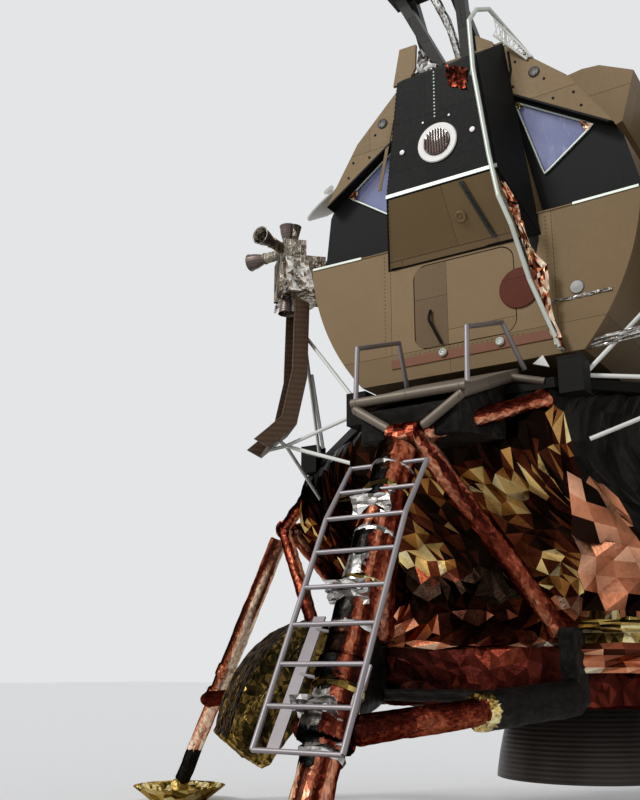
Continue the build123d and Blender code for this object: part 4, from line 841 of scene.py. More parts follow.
# %% Hatch wall fittings
red_disc = disc("hatch_disc", [(0.150, 0), (0.154, 0.004), (0.147, 0.009)], 0.010,
                (0.440, -1.984, 3.921), AHEAD, 44, 18)
dress(red_disc, "porch_metal")
grey_disc = disc("wall_disc", [(0.050, 0), (0.050, 0.005), (0.045, 0.008)], 0.009,
                 on_front(0.847, 3.837), AHEAD, 28, 18)
dress(grey_disc, "bare_tube")
foot_corners = on_wall(((-0.60, 3.558), (0.66, 3.568), (0.66, 3.498), (-0.60, 3.488)))
dress(plate("foot_strip", foot_corners, 0.008, 0.002), "tan_panel")
BUTTON_SECTION = [(0.012, 0), (0.030, 0), (0.032, 0.012), (0.022, 0.022), (0.012, 0.018)]
for number, place in enumerate(on_wall(((0.276, 3.545), (-0.170, 3.545)), 1, -1.992)):
    button = turned(f"foot_button_{number}", BUTTON_SECTION, place, AHEAD, 24)
    core = disc("foot_button_core", [(0.010, 0), (0.009, 0.016)], 0.018, place, AHEAD, 12)
    dress(join([button, core], f"foot_button_{number}"), "pale_rail")
tube_route = [(-0.261, -1.992, 3.895), (-0.275, -2.015, 3.83), (-0.249, -2.015, 3.773),
              (-0.180, -1.995, 3.619)]
dress(rod("wall_tube", tube_route, 0.011, True), "black_panel", body="front_hatch")
seam_corners = on_wall(((0.655, 3.772), (1.085, 3.782), (1.085, 3.764), (0.655, 3.752)))
dress(film_patch("wall_seam", seam_corners, SILVER, 72, 0.008, 22, 0.8, 0.003, 0.1), "silver_foil")
# name, x and z of the first dot, x and z of the last, how many
DOT_ROWS = (("hatch_dots_top", -0.44, 4.300, 0.44, 4.300, 24),
            ("hatch_dots_low", -0.44, 3.580, 0.44, 3.580, 24),
            ("wall_dots_right", 0.655, 4.42, 0.655, 4.02, 14),
            ("wall_dots_left", -0.655, 4.42, -0.655, 3.60, 26))
for name, x0, z0, x1, z1, count in DOT_ROWS:
    dress(rivet_row(name, on_front(x0, z0), on_front(x1, z1), count), "tan_panel")
field_corners = on_wall(((-0.395, 4.262), (-0.13, 4.262), (-0.13, 3.612), (-0.395, 3.612)), 1, -1.9775)
dress(plate("hatch_dark_field", field_corners, 0.002, 0.0004), "porch_metal", body="front_hatch")
print("hatch wall done")


# %% [markdown]
# A strip of copper film has come loose beside the pale rail and hangs down the wall, and a black sheet
# runs down between it and the tan wall panel.

# %% Loose film beside the rail
# left x, right x, y, left z, right z
STRIP_EDGES = ((0.462, 0.500, -2.285, 4.607, 4.590), (0.502, 0.570, -2.270, 4.441, 4.420),
               (0.538, 0.582, -2.220, 4.290, 4.300), (0.563, 0.604, -2.150, 4.119, 4.130),
               (0.592, 0.690, -2.085, 3.930, 3.990), (0.618, 0.684, -2.070, 3.761, 3.800),
               (0.650, 0.700, -2.050, 3.567, 3.600), (0.690, 0.762, -2.025, 3.420, 3.385))
loose = []
for index in range(len(STRIP_EDGES) - 1):
    ax, bx, y, az, bz = STRIP_EDGES[index]
    dx, cx, low_y, dz, cz = STRIP_EDGES[index + 1]
    loose.append(film_patch(f"loose_{index}", [(ax, y, az), (bx, y, bz), (cx, low_y, cz), (dx, low_y, dz)],
                            COPPER, 80 + index, 0.035, 5, 0.9, 0.003, 0.22, 0.08))
dress(join(loose, "loose_strip"), "copper_foil")
sheet_corners = on_wall(((0.46, 4.455), (0.610, 4.458), (0.598, 4.252), (0.556, 4.092), (0.517, 4.055),
                         (0.450, 4.290)))
dress(plate("side_sheet", sheet_corners, 0.004, 0.001), "black_panel")
print("loose strip done")


# %% [markdown]
# ## Thruster boxes
# Each cluster of four small thrusters sits on a box wrapped in silver and gold film, with a pale torn
# hem along its lower edge. The jacket is one cube, cut finely, turned 45 degrees and crumpled. It is
# made once and copied to the other corners, each copy with a mesh of its own.

# %% Film jackets on the thruster boxes
JACKET = [(0.0, 0.05, 0.04, 0.03), (0.25, 0.16, 0.12, 0.085), (0.5, 0.38, 0.32, 0.25),
          (0.75, 0.66, 0.61, 0.54), (1.0, 0.92, 0.88, 0.80)]
bpy.ops.object.select_all(action="DESELECT")
bpy.ops.mesh.primitive_cube_add(size=1)
jacket = pick(bpy.context.object)
jacket.data.transform(Matrix.Translation((0, 0, 4.545)) @ Matrix.Diagonal((0.415, 0.315, 0.30, 1)))
jacket.data.transform(Matrix.Translation((-1.67, -1.67, 0)) @ Matrix.Rotation(math.radians(-45), 4, "Z"))
crumple(jacket, 0.016, 0.020, 0.035, 0.30)
hem_corners = [(-1.99, -1.55, 4.425), (-1.55, -1.99, 4.425), (-1.53, -2.01, 4.375), (-2.01, -1.53, 4.375)]
hem = film_patch("hem", hem_corners, JACKET, 90, 0.03, 16, 0.8, 0.003, 0.2, 0.03)
centres, normals = facet_values(jacket.data)
paint_facets(jacket, ramp(sheen_and_tone_of(centres, normals, 91, 0.06, 0.6), JACKET))
jacket = join([jacket, hem], "quad_jacket")
CORNERS = {"front_left": 0, "front_right": 90, "rear_right": 180, "rear_left": 270}


def round_the_corners(made, slot, corners):
    """Replace a piece by a copy at each corner, turned about the lander's middle."""
    for corner, degrees in corners:
        twin = copy_of(made, f"{made.name}_{corner}")
        twin.data.transform(Matrix.Rotation(math.radians(degrees), 4, "Z"))
        dress(twin, slot)
    bpy.data.objects.remove(made)


round_the_corners(jacket, "silver_foil", CORNERS.items())
print("four jackets")


# %% [markdown]
# Each thruster has a thin bell, with rings where it was brazed to its chamber.
# The four bells of a corner are copies of one turned part with a real wall.

# %% Bells of the small thrusters
BELL_OUTLINE = [(0.079, 0.0), (0.0715, -0.006), (0.060, -0.06), (0.040, -0.125), (0.024, -0.160),
                (0.034, -0.164), (0.052, -0.118), (0.068, -0.060), (0.0735, -0.012)]
COLLAR_OUTLINE = [(0.036, -0.175), (0.050, -0.175), (0.052, -0.160), (0.036, -0.158)]
MOUTHS = [((-1.745, -1.745, 5.0755), (0, 0, 1)), ((-1.745, -1.745, 4.2545), (0, 0, -1)),
          ((-2.1555, -1.745, 4.83), (-1, 0, 0)), ((-1.745, -2.1555, 4.83), (0, -1, 0))]
bells = []
for place, way in MOUTHS:
    bells.append(turned("bell", BELL_OUTLINE, place, way, 28))
    bells.append(turned("collar", COLLAR_OUTLINE, place, way, 24))
round_the_corners(join(bells, "quad_bells"), "bell_metal", CORNERS.items())
print("sixteen bells")


# %% [markdown]
# Below each cluster a bent sheet turns the exhaust away from the stage. It is stiffened by lengthwise
# ribs, and its edges are rolled.

# %% Ribs and rolled edges of the deflectors
# distance from the lander's middle, height
DEFLECTOR_LINE = [(2.326, 4.285), (2.341, 3.645), (2.426, 3.235), (2.640, 3.033)]
ribs = []
for across in (-0.13, -0.045, 0.045, 0.13):
    ribs.append(rod("deflector_rib", [(out + 0.008, across, z) for out, z in DEFLECTOR_LINE], 0.007))
for across in (-0.208, 0.208):
    ribs.append(rod("deflector_edge", [(out + 0.103, across, z + 0.053) for out, z in DEFLECTOR_LINE], 0.009))
round_the_corners(join(ribs, "deflector_ribs"), "deflector_metal",
                  (("front_right", -45), ("rear_right", 45), ("rear_left", 135), ("front_left", 225)))
print("deflector ribs")


# %% [markdown]
# ## The ladder and the front leg
# Silver-taped brackets tie the ladder to the leg at three rungs, and gold and silver film bunches
# around them. A band of tape is a torus primitive, stretched along the leg and made uneven.

# %% Brackets and tape rings on the front leg
def leg_place(z, across=0.0, lift=0.0):
    """A place on the front leg's axis at a height, or off it."""
    return Vector((across, -(4.250 - (z - 0.150) * 0.49606) - lift, z))


LEG_TURN = (leg_place(2.0) - leg_place(1.0)).to_track_quat("Z", "Y").to_matrix().to_4x4()
# height, radius
LEG_TAPES = ((2.44, 0.130), (2.30, 0.132), (2.02, 0.132), (1.74, 0.134), (1.50, 0.133), (1.20, 0.142),
             (0.90, 0.120))
for number, (z, radius) in enumerate(LEG_TAPES):
    bpy.ops.object.select_all(action="DESELECT")
    bpy.ops.mesh.primitive_torus_add(major_segments=15, minor_segments=5, major_radius=radius - 0.014,
                                     minor_radius=0.016)
    band = pick(bpy.context.object)
    band.name = band.data.name = f"leg_tape_{number}"
    band.data.transform(Matrix.Translation(leg_place(z)) @ LEG_TURN @ Matrix.Diagonal((1, 1, 1.6, 1)))
    places = vertex_places(band.data)
    places = places + np.random.default_rng(100 + number).normal(size=places.shape) * 0.003
    band.data.vertices.foreach_set("co", places.ravel())
    band.data.update()
    pick(band)
    bpy.ops.object.shade_flat()
    centres, normals = facet_values(band.data)
    paint_facets(band, ramp(sheen_and_tone_of(centres, normals, 100 + number, 0.05, 0.7), (SILVER, GOLD)[number % 2]))
    dress(band, "silver_foil")

RUNGS_WITH_BRACKETS = ((1.147, -3.984), (1.723, -3.668), (2.221, -3.371))
for number, (z, y) in enumerate(RUNGS_WITH_BRACKETS):
    base = leg_place(z)
    front = Vector((0, y + 0.012, z))
    corners = [front + Vector((-0.13, 0, 0.05)), front + Vector((0.13, 0, 0.05)),
               base + Vector((0.12, -0.128, -0.075)), base + Vector((-0.12, -0.128, -0.075))]
    sheet = film_patch(f"rung_wrap_{number}", corners, SILVER, 110 + number, 0.022, 7, 0.8, 0.004, 0.0, 0.035)
    dress(sheet, "silver_foil")
print("ladder brackets")


# %% [markdown]
# On the front right corner face the rose film lies in a few broad facets under the curved edge of the
# black sheet, and two bright rolls of film run along the face's foot. The blanket's own facets are too
# small for that, so these are patches laid over it: a coarse grid gives broad facets.

# %% Broad rose film and the rolls at its foot
def on_corner(x, z, lift=0.0):
    """A place on the front right corner face, or off it by `lift`."""
    return (x + lift * 0.7071, x - 2.795 - lift * 0.7071, z)


# name, four corners of (x, z), colours, seed, depth, grid
CORNER_PATCHES = (
    ("rose_sheet_0", (0.70, 1.66), (1.16, 1.66), (1.045, 2.04), (0.70, 2.12), ROSE, 151, 0.10, 4),
    ("rose_sheet_1", (0.70, 2.10), (1.04, 2.02), (0.90, 2.36), (0.70, 2.54), ROSE, 152, 0.08, 3),
    ("corner_roll_0", (0.70, 1.53), (1.20, 1.53), (1.20, 1.61), (0.70, 1.61), GOLD, 153, 0.04, 5),
    ("corner_roll_1", (0.70, 1.29), (1.20, 1.29), (1.20, 1.47), (0.70, 1.47), COPPER, 154, 0.05, 5))
for name, first, second, third, fourth, stops, seed, depth, cuts in CORNER_PATCHES:
    corners = [on_corner(*place, 0.045) for place in (first, second, third, fourth)]
    sheet = film_patch(name, corners, stops, seed, depth, cuts, 1.0, 0.004, 0.08, 0.03)
    dress(sheet, "gold_foil" if stops is GOLD else "copper_foil")
print("corner patches")


# %% [markdown]
# ## The pads
# The dished pads are lined with loose gold film. The lining is a grid cut to a ring, sunk to the pad's
# shape, wrinkled, and reduced to facets.

# %% Film in the pads
bpy.ops.object.select_all(action="DESELECT")
bpy.ops.mesh.primitive_grid_add(x_subdivisions=34, y_subdivisions=34, size=0.9)
lining = pick(bpy.context.object)
bpy.ops.object.mode_set(mode="EDIT")
bpy.ops.mesh.select_all(action="DESELECT")
bpy.ops.object.mode_set(mode="OBJECT")
PAD_HOLE, PAD_RIM = 0.10, 0.447
for vertex in lining.data.vertices:
    vertex.select = not PAD_HOLE <= math.hypot(vertex.co.x, vertex.co.y) <= PAD_RIM
bpy.ops.object.mode_set(mode="EDIT")
bpy.ops.mesh.delete(type="VERT")
bpy.ops.object.mode_set(mode="OBJECT")
rng = np.random.default_rng(120)
for vertex in lining.data.vertices:
    reach = math.hypot(vertex.co.x, vertex.co.y)
    bowl = 0.022 + max(0.0, reach - 0.25) * 0.675
    vertex.co.z = bowl + rng.uniform(0.002, 0.030)
lining.data.update()
modify(lining, "DECIMATE", ratio=0.45)
modify(lining, "SOLIDIFY", thickness=0.003, offset=0)
pick(lining)
bpy.ops.object.shade_flat()
centres, normals = facet_values(lining.data)
# painted reflection: with the normals turned over, facets facing up rank brighter
paint_facets(lining, ramp(np.clip(sheen_and_tone_of(centres, -normals, 121, 0.12, 0.5) + 0.08, 0, 1), GOLD))
for side, (x, y) in (("front", (0, -4.25)), ("rear", (0, 4.25)), ("left", (-4.25, 0)), ("right", (4.25, 0))):
    twin = copy_of(lining, f"pad_lining_{side}")
    twin.data.transform(Matrix.Translation((x, y, 0)))
    dress(twin, "gold_foil")
bpy.data.objects.remove(lining)
print("pad linings")


# %% [markdown]
# ## The roof gear
# A white lattice stands behind the rail's top loop: two rails with cross bars between. A crumpled
# silver tube runs up beside the radar's dark frame, and a crumpled silver flap lies next to it.

# %% Lattice, silver tube and silver flap
left_rail = [Vector((0.392, -2.10, 5.965)), Vector((0.602, -1.99, 5.735))]
right_rail = [Vector((0.404, -2.10, 6.100)), Vector((0.642, -1.99, 5.745))]
pieces = [rod("lattice_rail", left_rail, 0.009), rod("lattice_rail", right_rail, 0.009)]
BARS = 8
for index in range(BARS):
    here, there = index / BARS, (index + 1) / BARS
    for near, far in ((left_rail, right_rail), (right_rail, left_rail)):
        pieces.append(rod("lattice_bar", [near[0].lerp(near[1], here), far[0].lerp(far[1], there)], 0.005))
dress(join(pieces, "roof_lattice"), "white_paint")
tube_route = [(0.03, -1.90, 6.00), (0.02, -2.04, 6.20), (-0.05, -2.12, 6.42), (-0.10, -2.15, 6.55)]
tube = rod("silver_tube", tube_route, 0.034, True, 4)
modify(tube, "REMESH", mode="VOXEL", voxel_size=0.009, adaptivity=0)
modify(tube, "DISPLACE", texture=CREASE, strength=0.018, mid_level=0.5)
modify(tube, "DECIMATE", ratio=0.25)
pick(tube)
bpy.ops.object.shade_flat()
centres, normals = facet_values(tube.data)
paint_facets(tube, ramp(sheen_and_tone_of(centres, normals, 130, 0.05, 0.6), SILVER))
dress(tube, "silver_foil")
flap_corners = [(-0.275, -2.02, 6.13), (-0.10, -1.97, 5.98), (-0.16, -2.02, 5.86), (-0.285, -2.06, 5.90)]
dress(film_patch("cheek_flap", flap_corners, SILVER, 131, 0.03, 9, 0.6, 0.003, 0.0, 0.05), "silver_foil")
print("roof gear")


# %% [markdown]
# Under the right side of the cabin, strips of bright film hang over the tubes. On the deck lies a white
# triangular pad at the porch's end. It is a soft-edged plate.

# %% Bright strips under the cabin and a pad by the porch
for number, (z, drop) in enumerate(((3.455, 0.020), (3.425, 0.016), (3.395, 0.012))):
    high = z + 0.055
    corners = [(0.80, -1.94, z), (1.30, -1.90, high), (1.30, -1.90, high - drop), (0.80, -1.94, z - drop)]
    strip = film_patch(f"under_strip_{number}", corners, SILVER, 140 + number, 0.010, 12, 0.7, 0.003, 0.1)
    dress(strip, "silver_foil")
triangle_corners = on_wall(((0.507, 3.334), (0.626, 3.292), (0.583, 3.387)), 1, -1.995)
dress(plate("porch_triangle", triangle_corners, 0.012, 0.003), "white_paint")
edge_corners = on_wall(((-0.700, 5.010), (-0.668, 5.010), (-0.545, 5.60), (-0.572, 5.62)))
dress(plate("left_edge_strip", edge_corners, 0.006), "tan_panel")
print("strips and pads")


# %% [markdown]
# ## The back and the sides
# The lander is looked at from all round. The rear equipment bay has framed doors with rivets and a latch.

# %% Doors on the rear bay
BACKWARD, REAR_Y, DOOR_THICKNESS, DOT_INSET = (0, 1, 0), 1.881, 0.014, 0.03
DOOR_Y = REAR_Y + DOOR_THICKNESS
# left, right, low, high
REAR_DOORS = ((-1.08, -0.10, 4.85, 5.52), (0.10, 1.08, 4.85, 5.52),
              (-1.08, -0.10, 3.98, 4.72), (0.10, 1.08, 3.98, 4.72))
for number, (x0, x1, z0, z1) in enumerate(REAR_DOORS):
    corners = on_wall(((x0, z0), (x1, z0), (x1, z1), (x0, z1)), 1, REAR_Y)
    dress(plate(f"rear_door_{number}", corners, DOOR_THICKNESS, 0.004, BACKWARD), "tan_panel")
    for edge, z in enumerate((z0 + DOT_INSET, z1 - DOT_INSET)):
        start, end = on_wall(((x0 + DOT_INSET, z), (x1 - DOT_INSET, z)), 1, DOOR_Y)
        dress(rivet_row(f"rear_dots_{number}_{edge}", start, end, 16, 0.008, BACKWARD), "bare_tube")
    latch = disc(f"rear_latch_{number}", [(0.034, 0), (0.034, 0.010), (0.020, 0.018)], 0.018,
                 ((x0 + x1) / 2, DOOR_Y, (z0 + z1) / 2), BACKWARD)
    dress(latch, "dark_metal")
print("rear doors")


# %% [markdown]
# ## Finishes
# Every finish is a node tree built in code. Effects that several finishes share are node groups, built
# once: the fine wrinkles of film, the riveted plates of the cabin, the grime that settles unevenly,
# and the scuffs that wear through paint. A group only hands out masks and values, and each material
# decides what to do with them.

# %% Tools for node trees
def new_group(name, inputs, outputs):
    """An empty node group with named number sockets."""
    group = bpy.data.node_groups.new(name, "ShaderNodeTree")
    for socket_name, value in inputs.items():
        socket = group.interface.new_socket(socket_name, in_out="INPUT", socket_type="NodeSocketFloat")
        socket.default_value = value
    for socket_name in outputs:
        group.interface.new_socket(socket_name, in_out="OUTPUT", socket_type="NodeSocketFloat")
    return group, group.nodes.new("NodeGroupInput"), group.nodes.new("NodeGroupOutput")


def node(tree, kind, **settings):
    """Add a node to a tree; settings whose name is a socket's go there, others on the node."""
    made = tree.nodes.new(kind)
    for name, value in settings.items():
        if hasattr(made, name):
            setattr(made, name, value)
        else:
            made.inputs[name.replace("_", " ")].default_value = value
    return made


def math_node(tree, operation, first, second=None, clamp=False):
    """A Math node fed by sockets or plain numbers; returns its output socket."""
    made = tree.nodes.new("ShaderNodeMath")
    made.operation = operation
    made.use_clamp = clamp
    for index, value in enumerate((first, second)):
        if value is None:
            continue
        if isinstance(value, (int, float)):
            made.inputs[index].default_value = value
        else:
            tree.links.new(value, made.inputs[index])
    return made.outputs[0]


def times(tree, first, second, clamp=False):
    """A product, fed by sockets or numbers."""
    return math_node(tree, "MULTIPLY", first, second, clamp)


def plus(tree, first, second, clamp=False):
    """A sum, fed by sockets or numbers."""
    return math_node(tree, "ADD", first, second, clamp)


def object_place(tree):
    """The place on the piece, in metres: the coordinate that every pattern here follows."""
    return tree.nodes.new("ShaderNodeTexCoord").outputs["Object"]


def span(tree, value, low, high):
    """Stretch a 0 to 1 value to lie between low and high."""
    made = tree.nodes.new("ShaderNodeMapRange")
    made.inputs["To Min"].default_value = low
    made.inputs["To Max"].default_value = high
    tree.links.new(value, made.inputs["Value"])
    return made.outputs["Result"]


def blend(tree, share, first, second, way="MIX"):
    """Mix two colours, given as sockets or as (r, g, b)."""
    made = tree.nodes.new("ShaderNodeMix")
    made.data_type = "RGBA"
    made.blend_type = way
    for socket_name, value in (("Factor", share), ("A", first), ("B", second)):
        socket = made.inputs[socket_name]
        if isinstance(value, (int, float)):
            socket.default_value = value
        elif isinstance(value, tuple):
            socket.default_value = (*value, 1)
        else:
            tree.links.new(value, socket)
    return made.outputs["Result"]


print("node tools ready")


# %% [markdown]
# Film has wrinkles far finer than its folds. Two Voronoi textures, whose cells are flat-sided like
# creased foil, and one noise give a height for the Bump node and a shade that varies colour and polish.
# The colour follows the height: darker in the hollows and lighter on the ridges, a painted shade.

# %% Group: fine wrinkles
wrinkles, ins, outs = new_group("fine wrinkles", {"Scale": 1.0}, ("Height", "Shade"))
place = object_place(wrinkles)
coarse = node(wrinkles, "ShaderNodeTexVoronoi", feature="F1", distance="EUCLIDEAN")
fine = node(wrinkles, "ShaderNodeTexVoronoi", feature="F1", distance="MANHATTAN")
cloudy = node(wrinkles, "ShaderNodeTexNoise", Detail=3.0)
for texture, factor in ((coarse, 24.0), (fine, 62.0), (cloudy, 9.0)):
    wrinkles.links.new(place, texture.inputs["Vector"])
    wrinkles.links.new(times(wrinkles, ins.outputs["Scale"], factor), texture.inputs["Scale"])
both = plus(wrinkles, coarse.outputs["Distance"], times(wrinkles, fine.outputs["Distance"], 0.5))
height = plus(wrinkles, both, times(wrinkles, cloudy.outputs["Fac"], 0.6))
wrinkles.links.new(height, outs.inputs["Height"])
wrinkles.links.new(times(wrinkles, both, 0.8, clamp=True), outs.inputs["Shade"])


# %% [markdown]
# The cabin's skin is made of flat plates, riveted along their seams. A Brick texture lays out the
# plates. It works in a plane, so we first pick the two coordinates that run along the surface: X and Z
# on a wall that faces forward, Y and Z on a side wall, X and Y on a roof.

# %% Group: riveted plates
plates, ins, outs = new_group("riveted plates", {"Wide": 0.5, "High": 0.35, "Shift": 0.0},
                              ("Seam", "Rivet", "Tone"))
parts = node(plates, "ShaderNodeSeparateXYZ")
plates.links.new(object_place(plates), parts.inputs[0])
facing = node(plates, "ShaderNodeSeparateXYZ")
plates.links.new(plates.nodes.new("ShaderNodeNewGeometry").outputs["Normal"], facing.inputs[0])
sideways = math_node(plates, "GREATER_THAN", math_node(plates, "ABSOLUTE", facing.outputs["X"]), 0.75)
upward = math_node(plates, "GREATER_THAN", math_node(plates, "ABSOLUTE", facing.outputs["Z"]), 0.75)


def either(tree, share, first, second):
    """The second number where share is 1, else the first."""
    made = tree.nodes.new("ShaderNodeMix")
    for socket_name, value in (("Factor", share), ("A", first), ("B", second)):
        tree.links.new(value, made.inputs[socket_name])
    return made.outputs["Result"]


across = either(plates, sideways, parts.outputs["X"], parts.outputs["Y"])
rise = either(plates, upward, parts.outputs["Z"], parts.outputs["Y"])
across = plus(plates, across, ins.outputs["Shift"])
flat_place = node(plates, "ShaderNodeCombineXYZ")
plates.links.new(across, flat_place.inputs["X"])
plates.links.new(rise, flat_place.inputs["Y"])


def plate_mask(width):
    """A Brick texture whose joints are `width` wide; its factor is 1 in the joints."""
    made = node(plates, "ShaderNodeTexBrick", offset=0.37, squash=1.35, squash_frequency=3,
                Scale=1.0, Mortar_Size=width, Mortar_Smooth=0.0)
    made.inputs["Color1"].default_value = (0, 0, 0, 1)
    made.inputs["Color2"].default_value = (1, 1, 1, 1)
    plates.links.new(flat_place.outputs[0], made.inputs["Vector"])
    plates.links.new(ins.outputs["Wide"], made.inputs["Brick Width"])
    plates.links.new(ins.outputs["High"], made.inputs["Row Height"])
    return made


seam = plate_mask(0.0022)
border = plate_mask(0.016)
plates.links.new(seam.outputs["Fac"], outs.inputs["Seam"])
plates.links.new(seam.outputs["Color"], outs.inputs["Tone"])
RIVET_STEP, RIVET_RADIUS = 0.036, 0.0045
dots = None
for value in (across, rise):
    near = math_node(plates, "PINGPONG", value, RIVET_STEP / 2)
    near = math_node(plates, "POWER", near, 2.0)
    dots = near if dots is None else plus(plates, dots, near)
dot = math_node(plates, "LESS_THAN", dots, RIVET_RADIUS ** 2)
rim = math_node(plates, "SUBTRACT", border.outputs["Fac"], seam.outputs["Fac"], clamp=True)
plates.links.new(times(plates, dot, rim), outs.inputs["Rivet"])


# %% [markdown]
# Nothing outdoors keeps an even coat. The grime group gives slow stains and fine specks, and the
# scuffs group gives thin streaks where paint or anodising has worn away.

# %% Groups: grime and scuffs
grime, ins, outs = new_group("grime", {"Scale": 1.0}, ("Stain", "Speck"))
stain = node(grime, "ShaderNodeTexNoise", Detail=4.0, Roughness=0.55)
speck = node(grime, "ShaderNodeTexNoise", Detail=6.0, Roughness=0.7)
for texture, factor in ((stain, 2.3), (speck, 38.0)):
    grime.links.new(object_place(grime), texture.inputs["Vector"])
    grime.links.new(times(grime, ins.outputs["Scale"], factor), texture.inputs["Scale"])
grime.links.new(stain.outputs["Fac"], outs.inputs["Stain"])
grime.links.new(speck.outputs["Fac"], outs.inputs["Speck"])

scuffs, ins, outs = new_group("scuffs", {"Scale": 1.0, "Amount": 0.35}, ("Mask",))
stretch = node(scuffs, "ShaderNodeMapping")
stretch.inputs["Scale"].default_value = (1.0, 1.0, 0.22)
scuffs.links.new(object_place(scuffs), stretch.inputs["Vector"])
scratch = node(scuffs, "ShaderNodeTexNoise", Detail=8.0, Roughness=0.8)
scuffs.links.new(stretch.outputs[0], scratch.inputs["Vector"])
scuffs.links.new(times(scuffs, ins.outputs["Scale"], 30.0), scratch.inputs["Scale"])
limit = math_node(scuffs, "SUBTRACT", 0.78, times(scuffs, ins.outputs["Amount"], 0.25))
over = math_node(scuffs, "SUBTRACT", scratch.outputs["Fac"], limit)
scuffs.links.new(times(scuffs, over, 9.0, clamp=True), outs.inputs["Mask"])
print("shared groups:", wrinkles.name, plates.name, grime.name, scuffs.name)


# %% [markdown]
# Each finish starts the same way: a material with its Principled shader, whose fixed values are typed
# straight on the sockets. `place_group` drops one of the shared groups in and sets its numbers.

# %% Starting a finish
def new_finish(name, **sockets):
    """A material, its tree and its shader, with fixed values on the shader's own sockets."""
    material = bpy.data.materials.new(name)
    material.use_nodes = True
    shader = material.node_tree.nodes["Principled BSDF"]
    for socket, value in sockets.items():
        shader.inputs[socket.replace("_", " ")].default_value = value
    return material, material.node_tree, shader


def place_group(tree, group, **values):
    """Put a shared group into a tree and set its inputs."""
    made = tree.nodes.new("ShaderNodeGroup")
    made.node_tree = group
    for name, value in values.items():
        made.inputs[name].default_value = value
    return made.outputs


def bump(tree, shader, height, strength, distance):
    """Feed a height to the shader's normal through a Bump node."""
    made = node(tree, "ShaderNodeBump", Strength=strength, Distance=distance)
    tree.links.new(height, made.inputs["Height"])
    tree.links.new(made.outputs[0], shader.inputs["Normal"])


finishes = {}


# %% [markdown]
# Film reads the colour that we stored on each facet. Its metallic value is stored too, because black
# film is hardly metallic and amber film is wholly so. Polish varies with the wrinkles, and the colour is
# darker in their hollows and lighter on their ridges, a painted shade. Metal turns white at a slant, which
# would make dark film look grey, so its specular tint is dark.

# %% Film finishes
EDGE_TINT = (0.22, 0.18, 0.15, 1)


def film_finish(name, low, high, wrinkle_scale=1.0, strength=0.10):
    """Metallised film: facet colours with painted shade in the wrinkles' hollows, fine wrinkles, roughness
    from low to high.
    """
    material, tree, shader = new_finish(name, Specular_IOR_Level=0.15, Specular_Tint=EDGE_TINT)
    fine = place_group(tree, wrinkles, Scale=wrinkle_scale)
    tint = node(tree, "ShaderNodeAttribute", attribute_name="film_tint")
    shine = node(tree, "ShaderNodeAttribute", attribute_name="film_shine")
    # painted shade: the colour is darker in the wrinkles' hollows and lighter on their ridges
    shade = span(tree, fine["Shade"], 0.80, 1.15)
    tree.links.new(blend(tree, 1.0, tint.outputs["Color"], shade, "MULTIPLY"), shader.inputs["Base Color"])
    tree.links.new(shine.outputs["Fac"], shader.inputs["Metallic"])
    tree.links.new(span(tree, fine["Shade"], low, high), shader.inputs["Roughness"])
    bump(tree, shader, fine["Height"], strength, 0.012)
    return material


for slot, low, high, scale in (("amber_foil", 0.20, 0.38, 1.0), ("copper_foil", 0.24, 0.42, 1.1),
                               ("strut_foil", 0.24, 0.44, 1.5), ("gold_foil", 0.20, 0.40, 1.2),
                               ("black_blanket", 0.34, 0.60, 1.2), ("silver_foil", 0.16, 0.34, 1.4)):
    finishes[slot] = film_finish(f"film {slot}", low, high, scale)
print(len(finishes), "film finishes")


# %% [markdown]
# Some film stays on its CAD solid, such as on the thruster boxes and the pads. A solid has no facet
# colours, so these finishes make facets in the material: large Voronoi cells, each with its own tone,
# whose borders the Bump node creases.

# %% Film on solids
def solid_film(name, colours, low, high, cell=11.0, metallic=1.0):
    """Film over a solid part, with facets from Voronoi cells."""
    material, tree, shader = new_finish(name, Metallic=metallic, Specular_IOR_Level=0.15,
                                        Specular_Tint=EDGE_TINT)
    cells = node(tree, "ShaderNodeTexVoronoi", Scale=cell)
    tree.links.new(object_place(tree), cells.inputs["Vector"])
    tone = node(tree, "ShaderNodeSeparateColor")
    tree.links.new(cells.outputs["Color"], tone.inputs[0])
    steps = node(tree, "ShaderNodeValToRGB")
    steps.color_ramp.elements[0].color = (*colours[0], 1)
    steps.color_ramp.elements[1].color = (*colours[-1], 1)
    for index, colour in enumerate(colours[1:-1]):
        steps.color_ramp.elements.new((index + 1) / (len(colours) - 1)).color = (*colour, 1)
    tree.links.new(tone.outputs[0], steps.inputs[0])
    fine = place_group(tree, wrinkles, Scale=1.3)
    # painted shade: the colour is darker in the wrinkles' hollows and lighter on their ridges
    shade = span(tree, fine["Shade"], 0.75, 1.15)
    tree.links.new(blend(tree, 1.0, steps.outputs[0], shade, "MULTIPLY"), shader.inputs["Base Color"])
    tree.links.new(span(tree, fine["Shade"], low, high), shader.inputs["Roughness"])
    height = plus(tree, cells.outputs["Distance"], times(tree, fine["Height"], 0.35))
    bump(tree, shader, height, 0.7, 0.03)
    return material


pad_film = solid_film("film on pads", [stop[1:] for stop in GOLD[1:]], 0.22, 0.42, 9.0)
quad_film = solid_film("film on thrusters", [(0.10, 0.095, 0.085), (0.32, 0.28, 0.22), (0.55, 0.50, 0.42)],
                       0.2, 0.4)
black_film = solid_film("black film on solids", [stop[1:] for stop in BLACK], 0.3, 0.5, 8.0, 0.2)
print("film on solids ready")


# %% [markdown]
# The cabin's plates are a tan-grey anodised metal. Each plate differs a little in tone, seams are dark
# hairlines, rivets are small raised dots, and there are stains. The darker panels are the same in black.

# %% Plate finishes
def lighter(colour, factor):
    """A colour times a factor, kept below 1."""
    return tuple(min(1.0, value * factor) for value in colour)


